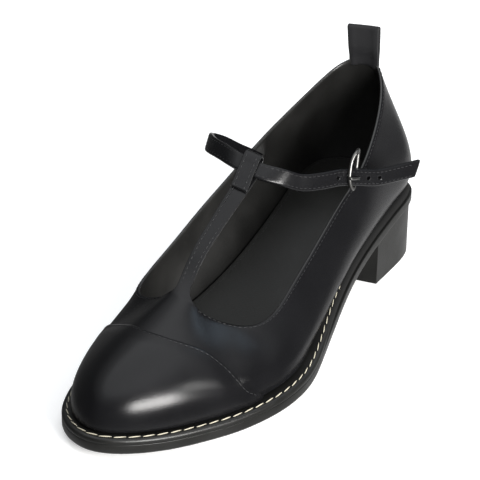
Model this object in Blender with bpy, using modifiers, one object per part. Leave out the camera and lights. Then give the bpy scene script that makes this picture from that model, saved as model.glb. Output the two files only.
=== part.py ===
"""Low heel shoe with a T-bar and an ankle strap: a left shoe, each piece a solid of its own.

Frame: +X to the toe, +Y to the outer (lateral) side, +Z up, floor at z = 0. The sizes below are in
millimetres, and place() turns them into metres about the middle of the shoe's outline seen from above.
"""
import math
from collections import namedtuple

import bmesh
import bpy
import numpy as np

MM = 0.001

# Thicknesses and clearances
GAP = 0.3
WALL = 1.8
CAP_LEATHER = 1.2
OUTSOLE = 4.7
WELT = 2.7
INSOLE = 3.5
SOLE_EDGE_ROUND = 1.2
THIN_EDGE_ROUND = 0.6

# Heel block, inset from the edge of the sole at its top and at the floor
HEEL_TOP_INSET = 1.2
HEEL_FLOOR_INSET = 2.0
HEEL_EDGE_ROUND = 0.8

# How far the wall runs straight into the topline, as a share of its distance from the feather line. A wall
# flatter than STEEP turns toward its own foot as it leaves the topline, and fully so from FLAT on
REACH = 0.50
STEEP = 0.45
FLAT = 0.85

# How far up the wall the back of the heel is fullest
FULLEST = 0.5

# Toe cap: its seam seen from above, from the inner side to the outer side, how it runs back for each millimetre
# that it drops below a height, and its lift over the upper
Seam = namedtuple("Seam", "y x")
CAP_SEAM = [
    Seam(-50.0, 187.0), Seam(-36.0, 197.5), Seam(-26.5, 205.0), Seam(-15.0, 213.8), Seam(-4.0, 219.8),
    Seam(2.0, 220.8), Seam(8.0, 219.8), Seam(14.0, 217.0), Seam(24.5, 210.2), Seam(31.0, 208.0),
    Seam(36.0, 206.8), Seam(38.5, 205.8), Seam(41.0, 203.4), Seam(44.0, 201.5), Seam(50.0, 197.0),
]
SEAM_LEAN = 1.0
SEAM_LEANS_BELOW = 16.5
CAP_LIFT = 0.45
SEAM_CLEARANCE = 0.8
CAP_FOOT_SHARE = 0.012
LEAST_CAP_SHARE = 0.04

# Straps
TBAR_HALF_WIDTH_LOW = 3.4
TBAR_HALF_WIDTH_TOP = 4.2
TBAR_WIDEN_RUN = 60.0
TBAR_FILLET = 8.0
TBAR_CROWN_RUN = 30.0
STRAP_WIDTH = 8.0
STRAP_THICK = 2.0
LOOP_CENTRE = (132.5, 88.2)
LOOP_SIDE = 2.0
LOOP_TILT = 40.0
LOOP_BANK = -0.2
LOOP_EASE = 0.5
LOOP_END_RUN = 2.0
LOOP_END_LIFT = 0.7
STRAP_CHAMFER = 0.5
HOLE_RADIUS = 1.2
HOLE_PITCH = 7.0
HOLE_SHIFT = 2.0
HOLES_EACH_WAY = 2
TIP_SLANT = 0.45

# Buckle, in the strap's own axes at the buckle: along, across and out of the strap
BUCKLE_STRETCH = 0.79
FRAME_WIRE = 0.85
FRAME_HALF_LENGTH = 5.5
FRAME_HALF_WIDTH = 9.2
FRAME_CORNER = 2.6
FRAME_RAISED = 3.6
FRONT_BOW = 5.0
FRONT_ROUND = 7.6
FRAME_BEND = -2.5
FRONT_BAR_OUT = 2.6
REAR_BAR_OUT = -3.7
PRONG_WIRE = 0.7
PRONG_TIP_PAST = 1.2
TAB_WIDTH = 8.0
TAB_THICK = 1.0
TAB_CHAMFER = 0.25

# Pull loop
PULL_WIDTH = 15.6
PULL_HEIGHT = 16.0
PULL_THICK = 1.0
PULL_FOLD_RADIUS = 1.0
PULL_TWIST = -0.2
PULL_SIDE = -0.8
PULL_LEAN = 0.08
PULL_BEND_KEPT = 0.4
PULL_REACH = 0.023

# Mesh density
COLUMNS = 72
WALL_ROWS = 10
PLATE_LENGTHWISE = 26
PLATE_ACROSS = 8
HEEL_LENGTHWISE = 10
ROUND_STEPS = 2
CAP_COLUMNS = 30
CAP_ROWS = 8
STRAP_STEPS = 52
TAB_STEPS = 25
TAB_FOLD_STEPS = 8
FRAME_CORNER_STEPS = 3
PULL_COLUMNS = 6
PULL_ROWS = 3
SHARP_DEGREES = 40.0
BEVEL_DEGREES = 50.0
FILLET_SHARES = (0.006, 0.014, 0.024, 0.036, 0.05)
RUN_SHARES = np.linspace(0.09, 0.60, 8)
FOLD_SHARES = np.linspace(0.64, 1.0, 18)

# A row for each section round the shoe: the sole's edge, the width of the welt's margin, the topline,
# how steeply the wall starts (a share of its distance to the topline), how far it swells out, and the slope
# in degrees at which it reaches the topline
Section = namedtuple("Section", "name edge_x edge_y margin top_x top_y top_z rise swell lean")
SECTIONS = [
    Section("heel back", 0.5, -3.0, 3.0, 4.4, -4.0, 95.0, 0.32, 5.5, 75.0),
    Section("heel back lateral", 9.0, 24.0, 3.0, 8.6, 6.0, 89.6, 0.28, 8.0, 71.0),
    Section("heel lateral", 32.0, 30.0, 3.0, 28.5, 15.9, 79.8, 0.26, 7.0, 68.0),
    Section("seat lateral", 55.0, 31.0, 3.0, 58.0, 24.2, 68.6, 0.24, 6.5, 68.0),
    Section("waist lateral", 90.0, 34.2, 3.5, 89.0, 26.0, 56.1, 0.24, 6.5, 67.0),
    Section("arch lateral", 117.0, 40.0, 4.5, 117.0, 27.6, 45.8, 0.26, 6.0, 63.0),
    Section("joint lateral", 140.0, 45.7, 5.5, 140.0, 29.1, 38.4, 0.30, 5.0, 56.0),
    Section("ball lateral", 163.0, 50.5, 6.0, 160.0, 30.1, 33.0, 0.34, 3.5, 46.0),
    Section("throat corner lateral", 185.0, 50.8, 6.0, 175.0, 27.0, 32.5, 0.36, 3.0, 36.0),
    Section("throat lateral", 209.0, 45.0, 6.0, 185.0, 18.0, 36.0, 0.36, 3.0, 22.0),
    Section("vamp lateral", 234.0, 33.6, 6.0, 191.0, 10.0, 41.8, 0.34, 3.5, 11.0),
    Section("toe lateral", 255.0, 19.8, 6.0, 193.0, 5.0, 45.8, 0.33, 3.5, 9.0),
    Section("toe tip", 268.5, -3.0, 6.0, 193.0, -0.5, 47.6, 0.31, 3.0, 11.0),
    Section("toe medial", 259.0, -22.0, 6.0, 192.0, -6.0, 47.2, 0.28, 3.0, 14.0),
    Section("vamp medial", 239.0, -34.4, 6.0, 190.5, -10.5, 45.0, 0.27, 3.5, 22.0),
    Section("throat medial", 215.0, -41.6, 6.0, 187.5, -19.5, 40.6, 0.29, 4.5, 33.0),
    Section("throat corner medial", 191.0, -45.0, 6.0, 182.0, -29.5, 38.4, 0.33, 4.5, 51.0),
    Section("ball medial", 167.0, -40.5, 5.5, 167.0, -34.5, 39.4, 0.36, 5.0, 74.0),
    Section("joint medial", 140.0, -32.5, 4.5, 140.0, -36.5, 43.3, 0.36, 5.5, 88.0),
    Section("arch medial", 113.0, -28.5, 4.0, 114.0, -35.6, 51.2, 0.36, 6.0, 90.0),
    Section("waist medial", 86.0, -27.6, 3.5, 86.0, -33.4, 60.2, 0.36, 6.0, 86.0),
    Section("seat medial", 60.0, -28.6, 3.0, 62.0, -29.7, 70.2, 0.34, 4.5, 79.0),
    Section("heel medial", 34.0, -31.0, 3.0, 27.0, -22.8, 82.9, 0.30, 5.5, 71.0),
    Section("heel back medial", 11.0, -27.0, 3.0, 8.9, -16.0, 91.0, 0.30, 6.5, 73.0),
]

# Underside of the sole along the shoe: heel seat, waist, flat tread and toe spring
Under = namedtuple("Under", "x z")
UNDERSIDE = [
    Under(-5.0, 28.6),
    Under(30.0, 26.6),
    Under(55.0, 22.6),
    Under(82.0, 16.6),
    Under(101.0, 12.0),
    Under(123.0, 7.0),
    Under(140.0, 3.3),
    Under(154.0, 0.8),
    Under(165.0, 0.0),
    Under(210.0, 0.0),
    Under(235.0, 1.2),
    Under(252.0, 2.6),
    Under(272.0, 4.6),
]

# Ridge of the T-bar, from the throat to the loop
Ridge = namedtuple("Ridge", "x y z")
TBAR_RIDGE = [
    Ridge(193.0, -0.5, 47.6),
    Ridge(185.0, -2.2, 51.0),
    Ridge(172.0, -1.7, 61.8),
    Ridge(160.0, 0.1, 70.6),
    Ridge(149.0, 1.5, 77.6),
    Ridge(141.0, 2.0, 81.6),
]

# Middle of the ankle strap, and the way its upper edge leans forward and outward for each unit up
Strap = namedtuple("Strap", "x y z lean_x lean_y")
LOOP_LEAN = -1.0 / math.tan(math.radians(LOOP_TILT))
STRAP_ROUTE = [
    Strap(69.5, -28.2, 58.6, -0.45, 0.1),
    Strap(77.8, -28.8, 64.3, -0.5, 0.05),
    Strap(86.0, -31.4, 70.0, -0.55, 0.0),
    Strap(96.0, -33.8, 77.2, -0.6, -0.05),
    Strap(107.5, -33.6, 83.4, -0.8, -0.1),
    Strap(118.5, -26.8, 87.4, -1.0, 0.0),
    Strap(127.0, -15.5, 89.6, -1.0, 0.0),
    Strap(132.3, -4.0, 89.4, LOOP_LEAN, 0.0),
    Strap(132.5, 2.0, 88.2, LOOP_LEAN, 0.0),
    Strap(132.5, 7.5, 87.1, LOOP_LEAN, 0.0),
    Strap(128.5, 15.0, 84.6, -1.0, 0.0),
    Strap(119.0, 21.5, 79.1, -0.5, -0.1),
    Strap(108.0, 26.5, 76.6, -0.25, -0.15),
    Strap(97.0, 30.0, 74.6, -0.05, -0.15),
    Strap(87.0, 33.0, 71.4, 0.0, -0.15),
    Strap(75.0, 38.0, 67.5, 0.05, -0.15),
    Strap(62.0, 43.0, 65.8, 0.1, -0.15),
    Strap(51.0, 47.0, 64.6, 0.1, -0.15),
]

# Middle of the prong, in the strap's own axes, from its root up to the front bar
Waypoint = namedtuple("Waypoint", "along across out")
PRONG_ROUTE = [
    Waypoint(2.0, 0.0, -0.8),
    Waypoint(1.9, 0.0, 0.8),
    Waypoint(1.2, 0.0, 2.0),
    Waypoint(-0.5, 0.0, 3.0),
    Waypoint(-3.0, 0.0, 4.0),
]

# Middle of the buckle's tab: its short end over the rear bar, in the strap's own axes from that bar, and its
# long end, in the shoe's frame, down inside the quarter
TAB_SHORT_END = [Waypoint(5.0, 0.0, -0.4), Waypoint(2.5, 0.0, 0.0)]
Inside = namedtuple("Inside", "x y z")
TAB_LONG_END = [
    Inside(77.0, 25.2, 69.8), Inside(73.0, 22.6, 66.4), Inside(69.4, 21.8, 62.2), Inside(67.2, 22.9, 58.4),
]


# Curves through the tables


def hermite(left, right, left_slope, right_slope, span, share):
    """Cubic between two values with the slopes given at its ends."""
    square, cube = share ** 2, share ** 3
    return (left * (2 * cube - 3 * square + 1) + right * (3 * square - 2 * cube)
            + span * (left_slope * (cube - 2 * square + share) + right_slope * (cube - square)))


def closed_curve(keys, values, at):
    """Closed cubic spline through rows of values, whose keys run from 0 up to, not including, 1."""
    span = np.diff(np.append(keys, keys[0] + 1))[:, None]
    here = np.arange(len(keys))
    ahead = np.roll(here, -1)
    stiffness = np.diag(2 * (1 / span + 1 / np.roll(span, 1))[:, 0])
    stiffness[here, ahead] = stiffness[ahead, here] = 1 / span[:, 0]
    pull = 3 * (values[ahead] - values) / span ** 2
    slope = np.linalg.solve(stiffness, pull + np.roll(pull, 1, axis=0))
    at = np.mod(np.atleast_1d(at), 1.0)
    i = np.searchsorted(keys, at, side="right") - 1
    share = ((at - keys[i]) / span[i, 0])[:, None]
    return hermite(values[i], values[ahead[i]], slope[i], slope[ahead[i]], span[i], share)


def open_curve(points, at):
    """Smooth open curve through points, by shares from 0 to 1 of its chord length."""
    points = np.asarray(points, float)
    span = np.linalg.norm(np.diff(points[:, :3], axis=0), axis=1)
    key = np.concatenate([[0.0], np.cumsum(span)])
    step = np.diff(points, axis=0) / span[:, None]
    middle = (step[:-1] * span[1:, None] + step[1:] * span[:-1, None]) / (span[1:] + span[:-1])[:, None]
    slope = np.concatenate([step[:1], middle, step[-1:]])
    at = np.clip(np.atleast_1d(at), 0, 1) * key[-1]
    i = np.clip(np.searchsorted(key, at, side="right") - 1, 0, len(span) - 1)
    share = ((at - key[i]) / span[i])[:, None]
    return hermite(points[i], points[i + 1], slope[i], slope[i + 1], span[i][:, None], share)


def steady_curve(rows, at):
    """Curve through rows of two values that keeps flat stretches flat and adds no bumps."""
    x, z = np.array(rows, float).T
    span = np.diff(x)
    step = np.diff(z) / span
    same_way = step[:-1] * step[1:] > 0
    total = np.where(same_way, step[:-1] + step[1:], 1.0)
    middle = np.where(same_way, 2 * step[:-1] * step[1:] / total, 0.0)
    slope = np.concatenate([step[:1], middle, step[-1:]])
    at = np.clip(at, x[0], x[-1])
    i = np.clip(np.searchsorted(x, at, side="right") - 1, 0, len(span) - 1)
    share = (at - x[i]) / span[i]
    return hermite(z[i], z[i + 1], slope[i], slope[i + 1], span[i], share)


def unit(vectors):
    """Vectors at length one."""
    return vectors / np.linalg.norm(vectors, axis=-1, keepdims=True)


# The shoe's own forms: sole edge, underside and the surface of the last

EDGE = np.array([[row.edge_x, row.edge_y] for row in SECTIONS])
EDGE_STEPS = np.linalg.norm(np.diff(np.vstack([EDGE, EDGE[:1]]), axis=0), axis=1)
EDGE_KEYS = np.concatenate([[0.0], np.cumsum(EDGE_STEPS)[:-1]]) / EDGE_STEPS.sum()
KEY_OF = {row.name: key for row, key in zip(SECTIONS, EDGE_KEYS)}
COLUMN_VALUES = np.array([row[1:] for row in SECTIONS])
SOLE_STACK = OUTSOLE + GAP + WELT


def sections_at(round_key):
    """Every column of the table of sections, anywhere round the shoe."""
    return closed_curve(EDGE_KEYS, COLUMN_VALUES, round_key)


def outward(round_key):
    """Level direction out of the sole's edge."""
    small = 1e-4
    round_key = np.asarray(round_key)
    along = sections_at(round_key + small)[:, :2] - sections_at(round_key - small)[:, :2]
    return unit(np.stack([-along[:, 1], along[:, 0]], axis=1))


def sole_line(round_key, inset):
    """Points of the sole's edge, moved inward."""
    return sections_at(round_key)[:, :2] - outward(round_key) * np.reshape(inset, (-1, 1))


def underside(x):
    """Height of the sole's underside over the floor."""
    return steady_curve(UNDERSIDE, x)


def last_surface(round_key, share):
    """Outer face of the upper: from the feather line (share 0) to the topline (share 1)."""
    round_key = np.atleast_1d(round_key)
    share = np.broadcast_to(share, round_key.shape)[:, None]
    row = sections_at(round_key)
    margin, top, rise, swell, lean = row[:, 2], row[:, 3:6], row[:, 6:7], row[:, 7:8], np.radians(row[:, 8:9])
    flat = sole_line(round_key, margin)
    foot = np.column_stack([flat, underside(flat[:, 0]) + SOLE_STACK + GAP])
    out = np.column_stack([outward(round_key), np.zeros(len(round_key))])
    up = np.array([0.0, 0.0, 1.0])
    distance = np.linalg.norm(top - foot, axis=1, keepdims=True)
    down_slope = (foot - top) * np.array([1.0, 1.0, 0.0]) / distance
    flatness = np.linalg.norm(down_slope, axis=1, keepdims=True)
    turn = np.clip((flatness - STEEP) / (FLAT - STEEP), 0.0, 1.0)
    ahead = unit((1 - turn) * out + turn * down_slope / np.maximum(flatness, STEEP))
    first = foot + up * rise * distance + out * swell
    second = top + REACH * distance * (ahead * np.cos(lean) - up * np.sin(lean))
    rest = 1 - share
    return rest ** 3 * foot + 3 * rest ** 2 * share * first + 3 * rest * share ** 2 * second + share ** 3 * top


def last_normal(round_key, share):
    """Outward direction of the upper's outer face."""
    small = 1e-4
    round_key = np.atleast_1d(round_key)
    share = np.clip(np.broadcast_to(share, round_key.shape), small, 1 - small)
    around = last_surface(round_key + small, share) - last_surface(round_key - small, share)
    rising = last_surface(round_key, share + small) - last_surface(round_key, share - small)
    return unit(np.cross(rising, around))


# Blender objects

ALL_ROUND = np.linspace(0, 1, 721)
OUTLINE = np.vstack([sections_at(ALL_ROUND)[:, :2], last_surface(ALL_ROUND, FULLEST)[:, :2]])
MIDDLE = (OUTLINE.min(axis=0) + OUTLINE.max(axis=0)) / 2


def place(points):
    """Millimetres in the shoe's tables to metres about the middle of the shoe."""
    points = np.asarray(points, float).reshape(-1, 3)
    return (points - np.array([MIDDLE[0], MIDDLE[1], 0.0])) * MM


def material(name, colour, roughness, metallic=0.0):
    """Plain Principled material."""
    made = bpy.data.materials.new(name)
    made.use_nodes = True
    shader = made.node_tree.nodes["Principled BSDF"]
    shader.inputs["Base Color"].default_value = (*colour, 1.0)
    shader.inputs["Roughness"].default_value = roughness
    shader.inputs["Metallic"].default_value = metallic
    return made


def add_object(name, data, finish, collection):
    """Link a mesh or curve as a named sub-part."""
    part = bpy.data.objects.new(name, data)
    data.materials.append(finish)
    collection.objects.link(part)
    if part.type == "MESH":
        data.shade_smooth()
        data.set_sharp_from_angle(angle=math.radians(SHARP_DEGREES))
    return part


def mesh_from(bm, name):
    """Finish a bmesh as mesh data with its faces pointing out."""
    bmesh.ops.recalc_face_normals(bm, faces=bm.faces)
    mesh = bpy.data.meshes.new(name)
    bm.to_mesh(mesh)
    bm.free()
    return mesh


def solidify(part, thickness, offset):
    """Give an open surface its wall."""
    wall = part.modifiers.new("wall", "SOLIDIFY")
    wall.thickness = thickness * MM
    wall.offset = offset
    wall.use_even_offset = True
    wall.use_quality_normals = True
    return wall


def round_edges(part, width):
    """Bevel the sharp edges."""
    bevel = part.modifiers.new("edges", "BEVEL")
    bevel.width = width * MM
    bevel.segments = ROUND_STEPS
    bevel.limit_method = "ANGLE"
    bevel.angle_limit = math.radians(BEVEL_DEGREES)
    return bevel


def slab(low, high, name):
    """Closed plate between two grids of points of the same shape."""
    lengthwise, across = low.shape[0] - 1, low.shape[1] - 1
    bm = bmesh.new()
    bmesh.ops.create_grid(bm, x_segments=across, y_segments=lengthwise, size=1.0)
    order = bm.verts.layers.int.new("order")
    for i, vertex in enumerate(bm.verts):
        vertex[order] = i
    raised = bmesh.ops.extrude_face_region(bm, geom=bm.faces[:], use_keep_orig=True)["geom"]
    raised = {item for item in raised if isinstance(item, bmesh.types.BMVert)}
    low_points, high_points = place(low), place(high)
    for vertex in bm.verts:
        vertex.co = (high_points if vertex in raised else low_points)[vertex[order]]
    return mesh_from(bm, name)


def patch(lateral, medial, heel, toe):
    """Grid of level points inside four sides that meet at their ends (a Coons patch)."""
    s = np.linspace(0, 1, len(lateral))[:, None, None]
    t = np.linspace(0, 1, len(heel))[None, :, None]
    lengthwise = (1 - t) * lateral[:, None] + t * medial[:, None]
    crosswise = (1 - s) * heel[None] + s * toe[None]
    corners = ((1 - s) * (1 - t) * lateral[0] + (1 - s) * t * medial[0]
               + s * (1 - t) * lateral[-1] + s * t * medial[-1])
    return lengthwise + crosswise - corners


def side_keys(start, end, count, through_zero=False):
    """Even keys round the shoe between two named sections, in either direction."""
    first, last = KEY_OF[start], KEY_OF[end]
    if through_zero:
        last -= 1.0
    return np.linspace(first, last, count + 1)


def sole_patch(inset):
    """Grid of level points that fills the sole's outline, moved inward by a share of the margin and a size."""
    margin_share, size = inset

    def line(keys):
        return sole_line(keys, sections_at(keys)[:, 2] * margin_share + size)

    lateral = line(side_keys("heel back lateral", "toe lateral", PLATE_LENGTHWISE))
    medial = line(side_keys("heel back medial", "toe medial", PLATE_LENGTHWISE))
    toe = line(side_keys("toe lateral", "toe medial", PLATE_ACROSS))
    heel = line(side_keys("heel back lateral", "heel back medial", PLATE_ACROSS, through_zero=True))
    return patch(lateral, medial, heel, toe)


def at_height(level_grid, base):
    """Lift a level grid to a height over the sole's underside."""
    return np.concatenate([level_grid, underside(level_grid[..., :1]) + base], axis=2)


def make_plate(name, inset, base, thickness, finish, collection, rounding):
    """Layer of the sole that follows its outline and its side profile."""
    grid = sole_patch(inset)
    mesh = slab(at_height(grid, base), at_height(grid, base + thickness), name)
    part = add_object(name, mesh, finish, collection)
    round_edges(part, rounding)
    return part


def make_heel(finish, collection):
    """Block heel under the seat, with a straight breast."""
    def level(inset):
        lateral = sole_line(side_keys("heel back lateral", "seat lateral", HEEL_LENGTHWISE), inset)
        medial = sole_line(side_keys("heel back medial", "seat medial", HEEL_LENGTHWISE), inset)
        heel = sole_line(side_keys("heel back lateral", "heel back medial", PLATE_ACROSS, True), inset)
        breast = np.linspace(lateral[-1], medial[-1], PLATE_ACROSS + 1)
        return patch(lateral, medial, heel, breast)

    floor = level(HEEL_FLOOR_INSET)
    seat = level(HEEL_TOP_INSET)
    low = np.concatenate([floor, np.zeros_like(floor[..., :1])], axis=2)
    part = add_object("heel_block", slab(low, at_height(seat, -GAP), "heel_block"), finish, collection)
    round_edges(part, HEEL_EDGE_ROUND)
    return part


# Upper


def tbar_path():
    """Side view of the T-bar's outer face: up the ridge, under the strap, over it and down its front."""
    tilt = math.radians(LOOP_TILT)
    centre = np.array(LOOP_CENTRE)
    along = np.array([-math.cos(tilt), math.sin(tilt)])
    out = np.array([math.sin(tilt), math.cos(tilt)])
    half = STRAP_THICK / 2 + LOOP_EASE
    reach = STRAP_WIDTH / 2 + 2 * GAP
    ridge = [np.array([row.x, row.z]) for row in TBAR_RIDGE]
    back = [centre + along * at - out * half for at in (-reach, 0.0, reach)]
    turn = [centre + along * (reach + half * math.sin(angle)) - out * half * math.cos(angle)
            for angle in np.radians([45, 90, 135])]
    front = [centre + along * at + out * half for at in (reach, 0.0, -reach)]
    last_run = unit(ridge[-2] - ridge[-1])
    lifted = np.array([-last_run[1], last_run[0]])
    lifted = lifted if lifted[1] > 0 else -lifted
    end = [ridge[-1] + lifted * (LOOP_END_LIFT + LOOP_EASE),
           ridge[-1] + last_run * LOOP_END_RUN + lifted * LOOP_END_LIFT]
    path = np.array(ridge + back + turn + front + end)
    side = np.full(len(path), LOOP_SIDE)
    side[:len(ridge)] = [row.y for row in TBAR_RIDGE]
    return np.column_stack([path, side])


def tbar_rows():
    """Points of the T-bar's path with a finer step at the fillet and at the fold."""
    path = tbar_path()
    shares = np.concatenate([FILLET_SHARES, RUN_SHARES, FOLD_SHARES])
    length = np.linalg.norm(np.diff(path, axis=0), axis=1).sum()
    return open_curve(path, shares), shares * length


def make_upper(finish, collection):
    """Leather shell: a loft from feather line to topline, with the T-bar grown from the throat's middle."""
    bm = bmesh.new()
    keys = np.arange(COLUMNS) / COLUMNS + KEY_OF["toe tip"]
    rings = []
    for share in np.linspace(0, 1, WALL_ROWS + 1):
        rings.append([bm.verts.new(point) for point in place(last_surface(keys, share))])
    for low, high in zip(rings, rings[1:]):
        for i in range(COLUMNS):
            j = (i + 1) % COLUMNS
            bm.faces.new((low[j], low[i], high[i], high[j]))
    grow_tbar(bm, rings[-1], last_surface(keys, 1.0))
    part = add_object("upper", mesh_from(bm, "upper"), finish, collection)
    solidify(part, WALL, -1.0)
    return part


def grow_tbar(bm, top_ring, top_points):
    """Continue the columns at the throat's middle into a strip that narrows from a fillet to its width.

    The strip keeps the throat's crown across it, flattens on its way up, and banks into the loop.
    """
    ends = TBAR_HALF_WIDTH_LOW + TBAR_FILLET
    reach = max(i for i in range(COLUMNS // 4) if abs(top_points[i, 1]) <= ends)
    chosen = [i % COLUMNS for i in range(-reach, reach + 1)]
    base = top_points[chosen]
    off_middle = base[:, 1] - TBAR_RIDGE[0].y
    reach_across = np.abs(off_middle[[0, -1]]).mean()
    order = np.argsort(off_middle)
    rows, travelled = tbar_rows()
    strip = [[top_ring[i] for i in chosen]]
    for (x, z, side), distance in zip(rows, travelled):
        widened = min(1.0, distance / TBAR_WIDEN_RUN)
        half = TBAR_HALF_WIDTH_LOW + (TBAR_HALF_WIDTH_TOP - TBAR_HALF_WIDTH_LOW) * widened
        left = max(0.0, 1.0 - distance / TBAR_FILLET)
        half += (1.0 - math.sqrt(1.0 - left ** 2)) * (reach_across - half)
        crown = max(0.0, 1.0 - distance / TBAR_CROWN_RUN) ** 2
        across = off_middle * half / reach_across
        points = np.column_stack([np.full(len(across), x), side + across, np.full(len(across), z)])
        for axis in (0, 2):
            dropped = np.interp(across, off_middle[order], base[order, axis] - TBAR_RIDGE[0][axis])
            points[:, axis] += dropped * crown
        points[:, 2] += LOOP_BANK * widened ** 2 * across
        strip.append([bm.verts.new(point) for point in place(points)])
    for low, high in zip(strip, strip[1:]):
        for i in range(len(chosen) - 1):
            bm.faces.new((low[i + 1], low[i], high[i], high[i + 1]))


def make_toe_cap(finish, collection):
    """Overlay on the toe, cut from the upper's own surface at a swept-back seam."""
    def beyond_seam(keys, shares):
        points = last_surface(keys, shares)
        run_back = SEAM_LEAN * np.maximum(0.0, SEAM_LEANS_BELOW - points[:, 2])
        return points[:, 0] - steady_curve(CAP_SEAM, points[:, 1]) + run_back

    search = np.linspace(KEY_OF["ball lateral"], KEY_OF["ball medial"], 601)
    in_front = search[beyond_seam(search, 0.0) > SEAM_CLEARANCE]
    keys = np.linspace(in_front[-1], in_front[0], CAP_COLUMNS + 1)
    low, high = np.zeros(len(keys)), np.ones(len(keys))
    for _ in range(40):
        middle = (low + high) / 2
        ahead = beyond_seam(keys, middle) > 0
        low = np.where(ahead, middle, low)
        high = np.where(ahead, high, middle)
    seam = np.maximum(low, LEAST_CAP_SHARE)
    rows = []
    for part_way in np.linspace(0, 1, CAP_ROWS + 1):
        share = CAP_FOOT_SHARE + (seam - CAP_FOOT_SHARE) * part_way
        rows.append(last_surface(keys, share) + last_normal(keys, share) * CAP_LIFT)
    grid = np.array(rows)
    bm = bmesh.new()
    bmesh.ops.create_grid(bm, x_segments=grid.shape[1] - 1, y_segments=grid.shape[0] - 1, size=1.0)
    for vertex, point in zip(bm.verts, place(grid)):
        vertex.co = point
    mesh = bpy.data.meshes.new("toe_cap")
    bm.to_mesh(mesh)
    bm.free()
    part = add_object("toe_cap", mesh, finish, collection)
    solidify(part, CAP_LEATHER, 1.0)
    return part


# Straps, buckle and pull loop


def strap_frames(shares):
    """Middle, direction, upper edge and outer face of the ankle strap at shares of its length."""
    shares = np.atleast_1d(shares)
    small = 1e-4
    values = open_curve(STRAP_ROUTE, shares)
    ahead, behind = (open_curve(STRAP_ROUTE, shares + step)[:, :3] for step in (small, -small))
    along = unit(ahead - behind)
    upper = np.column_stack([values[:, 3], values[:, 4], np.ones(len(values))])
    upper = unit(upper - along * np.sum(upper * along, axis=1, keepdims=True))
    return values[:, :3], along, upper, np.cross(along, upper)


def section_corners(width, thickness, chamfer):
    """Eight corners of a flat strap's section, with its edges taken off."""
    half, deep = width / 2, thickness / 2
    quarter = [(half, deep - chamfer), (half - chamfer, deep)]
    return np.array(quarter + [(-a, b) for a, b in quarter[::-1]]
                    + [(-a, -b) for a, b in quarter] + [(a, -b) for a, b in quarter[::-1]])


def loft(rings, name):
    """Closed solid through rings of equal count, with flat ends."""
    bm = bmesh.new()
    made = [[bm.verts.new(point) for point in place(ring)] for ring in rings]
    count = len(made[0])
    for low, high in zip(made, made[1:]):
        for i in range(count):
            j = (i + 1) % count
            bm.faces.new((low[i], low[j], high[j], high[i]))
    bm.faces.new(made[0])
    bm.faces.new(made[-1][::-1])
    return mesh_from(bm, name)


def make_strap(finish, collection, cutters):
    """Ankle strap with its row of holes round the buckle."""
    shares = np.linspace(0, 1, STRAP_STEPS + 1)
    middle, along, upper, out = strap_frames(shares)
    corners = section_corners(STRAP_WIDTH, STRAP_THICK, STRAP_CHAMFER)
    rings = []
    for i in range(len(shares)):
        ring = middle[i] + corners[:, :1] * upper[i] + corners[:, 1:] * out[i]
        if i == len(shares) - 1:
            ring = ring + along[i] * corners[:, :1] * TIP_SLANT
        rings.append(ring)
    part = add_object("ankle_strap", loft(rings, "ankle_strap"), finish, collection)
    length = np.linalg.norm(np.diff(middle, axis=0), axis=1).sum()
    for number in range(-HOLES_EACH_WAY, HOLES_EACH_WAY + 1):
        share = BUCKLE_STRETCH + (number * HOLE_PITCH + HOLE_SHIFT) / length
        centre, _, _, face = (values[0] for values in strap_frames(share))
        ends = [centre - face * STRAP_THICK, centre + face * STRAP_THICK]
        hole = wire(f"strap_hole_{number + HOLES_EACH_WAY}", ends, HOLE_RADIUS, False)
        cutter = as_mesh(hole)
        cutters.objects.link(cutter)
        cutter.hide_render = True
        cutter.display_type = "WIRE"
        cut = part.modifiers.new("hole", "BOOLEAN")
        cut.operation = "DIFFERENCE"
        cut.object = cutter
    return part


def wire(name, points, radius, cyclic):
    """Round wire along a list of points, as curve data."""
    data = bpy.data.curves.new(name, "CURVE")
    data.dimensions = "3D"
    data.bevel_depth = radius * MM
    data.bevel_resolution = 2
    data.use_fill_caps = True
    spline = data.splines.new("POLY")
    spline.points.add(len(points) - 1)
    for target, point in zip(spline.points, place(points)):
        target.co = (*point, 1.0)
    spline.use_cyclic_u = cyclic
    return data


def as_mesh(curve_data):
    """Mesh object from a wire's curve, with its end caps welded on."""
    curve = bpy.data.objects.new(curve_data.name + "_curve", curve_data)
    mesh = bpy.data.meshes.new_from_object(curve)
    bm = bmesh.new()
    bm.from_mesh(mesh)
    bmesh.ops.remove_doubles(bm, verts=bm.verts, dist=0.00001)
    bmesh.ops.recalc_face_normals(bm, faces=bm.faces)
    bm.to_mesh(mesh)
    bm.free()
    bpy.data.objects.remove(curve)
    return bpy.data.objects.new(curve_data.name, mesh)


def at_buckle(points):
    """Points given along, across and out of the strap at the buckle, in the shoe's frame."""
    middle, along, upper, out = (values[0] for values in strap_frames(BUCKLE_STRETCH))
    points = np.asarray(points, float)
    return middle + points[:, :1] * along + points[:, 1:2] * upper + points[:, 2:] * out


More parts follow.
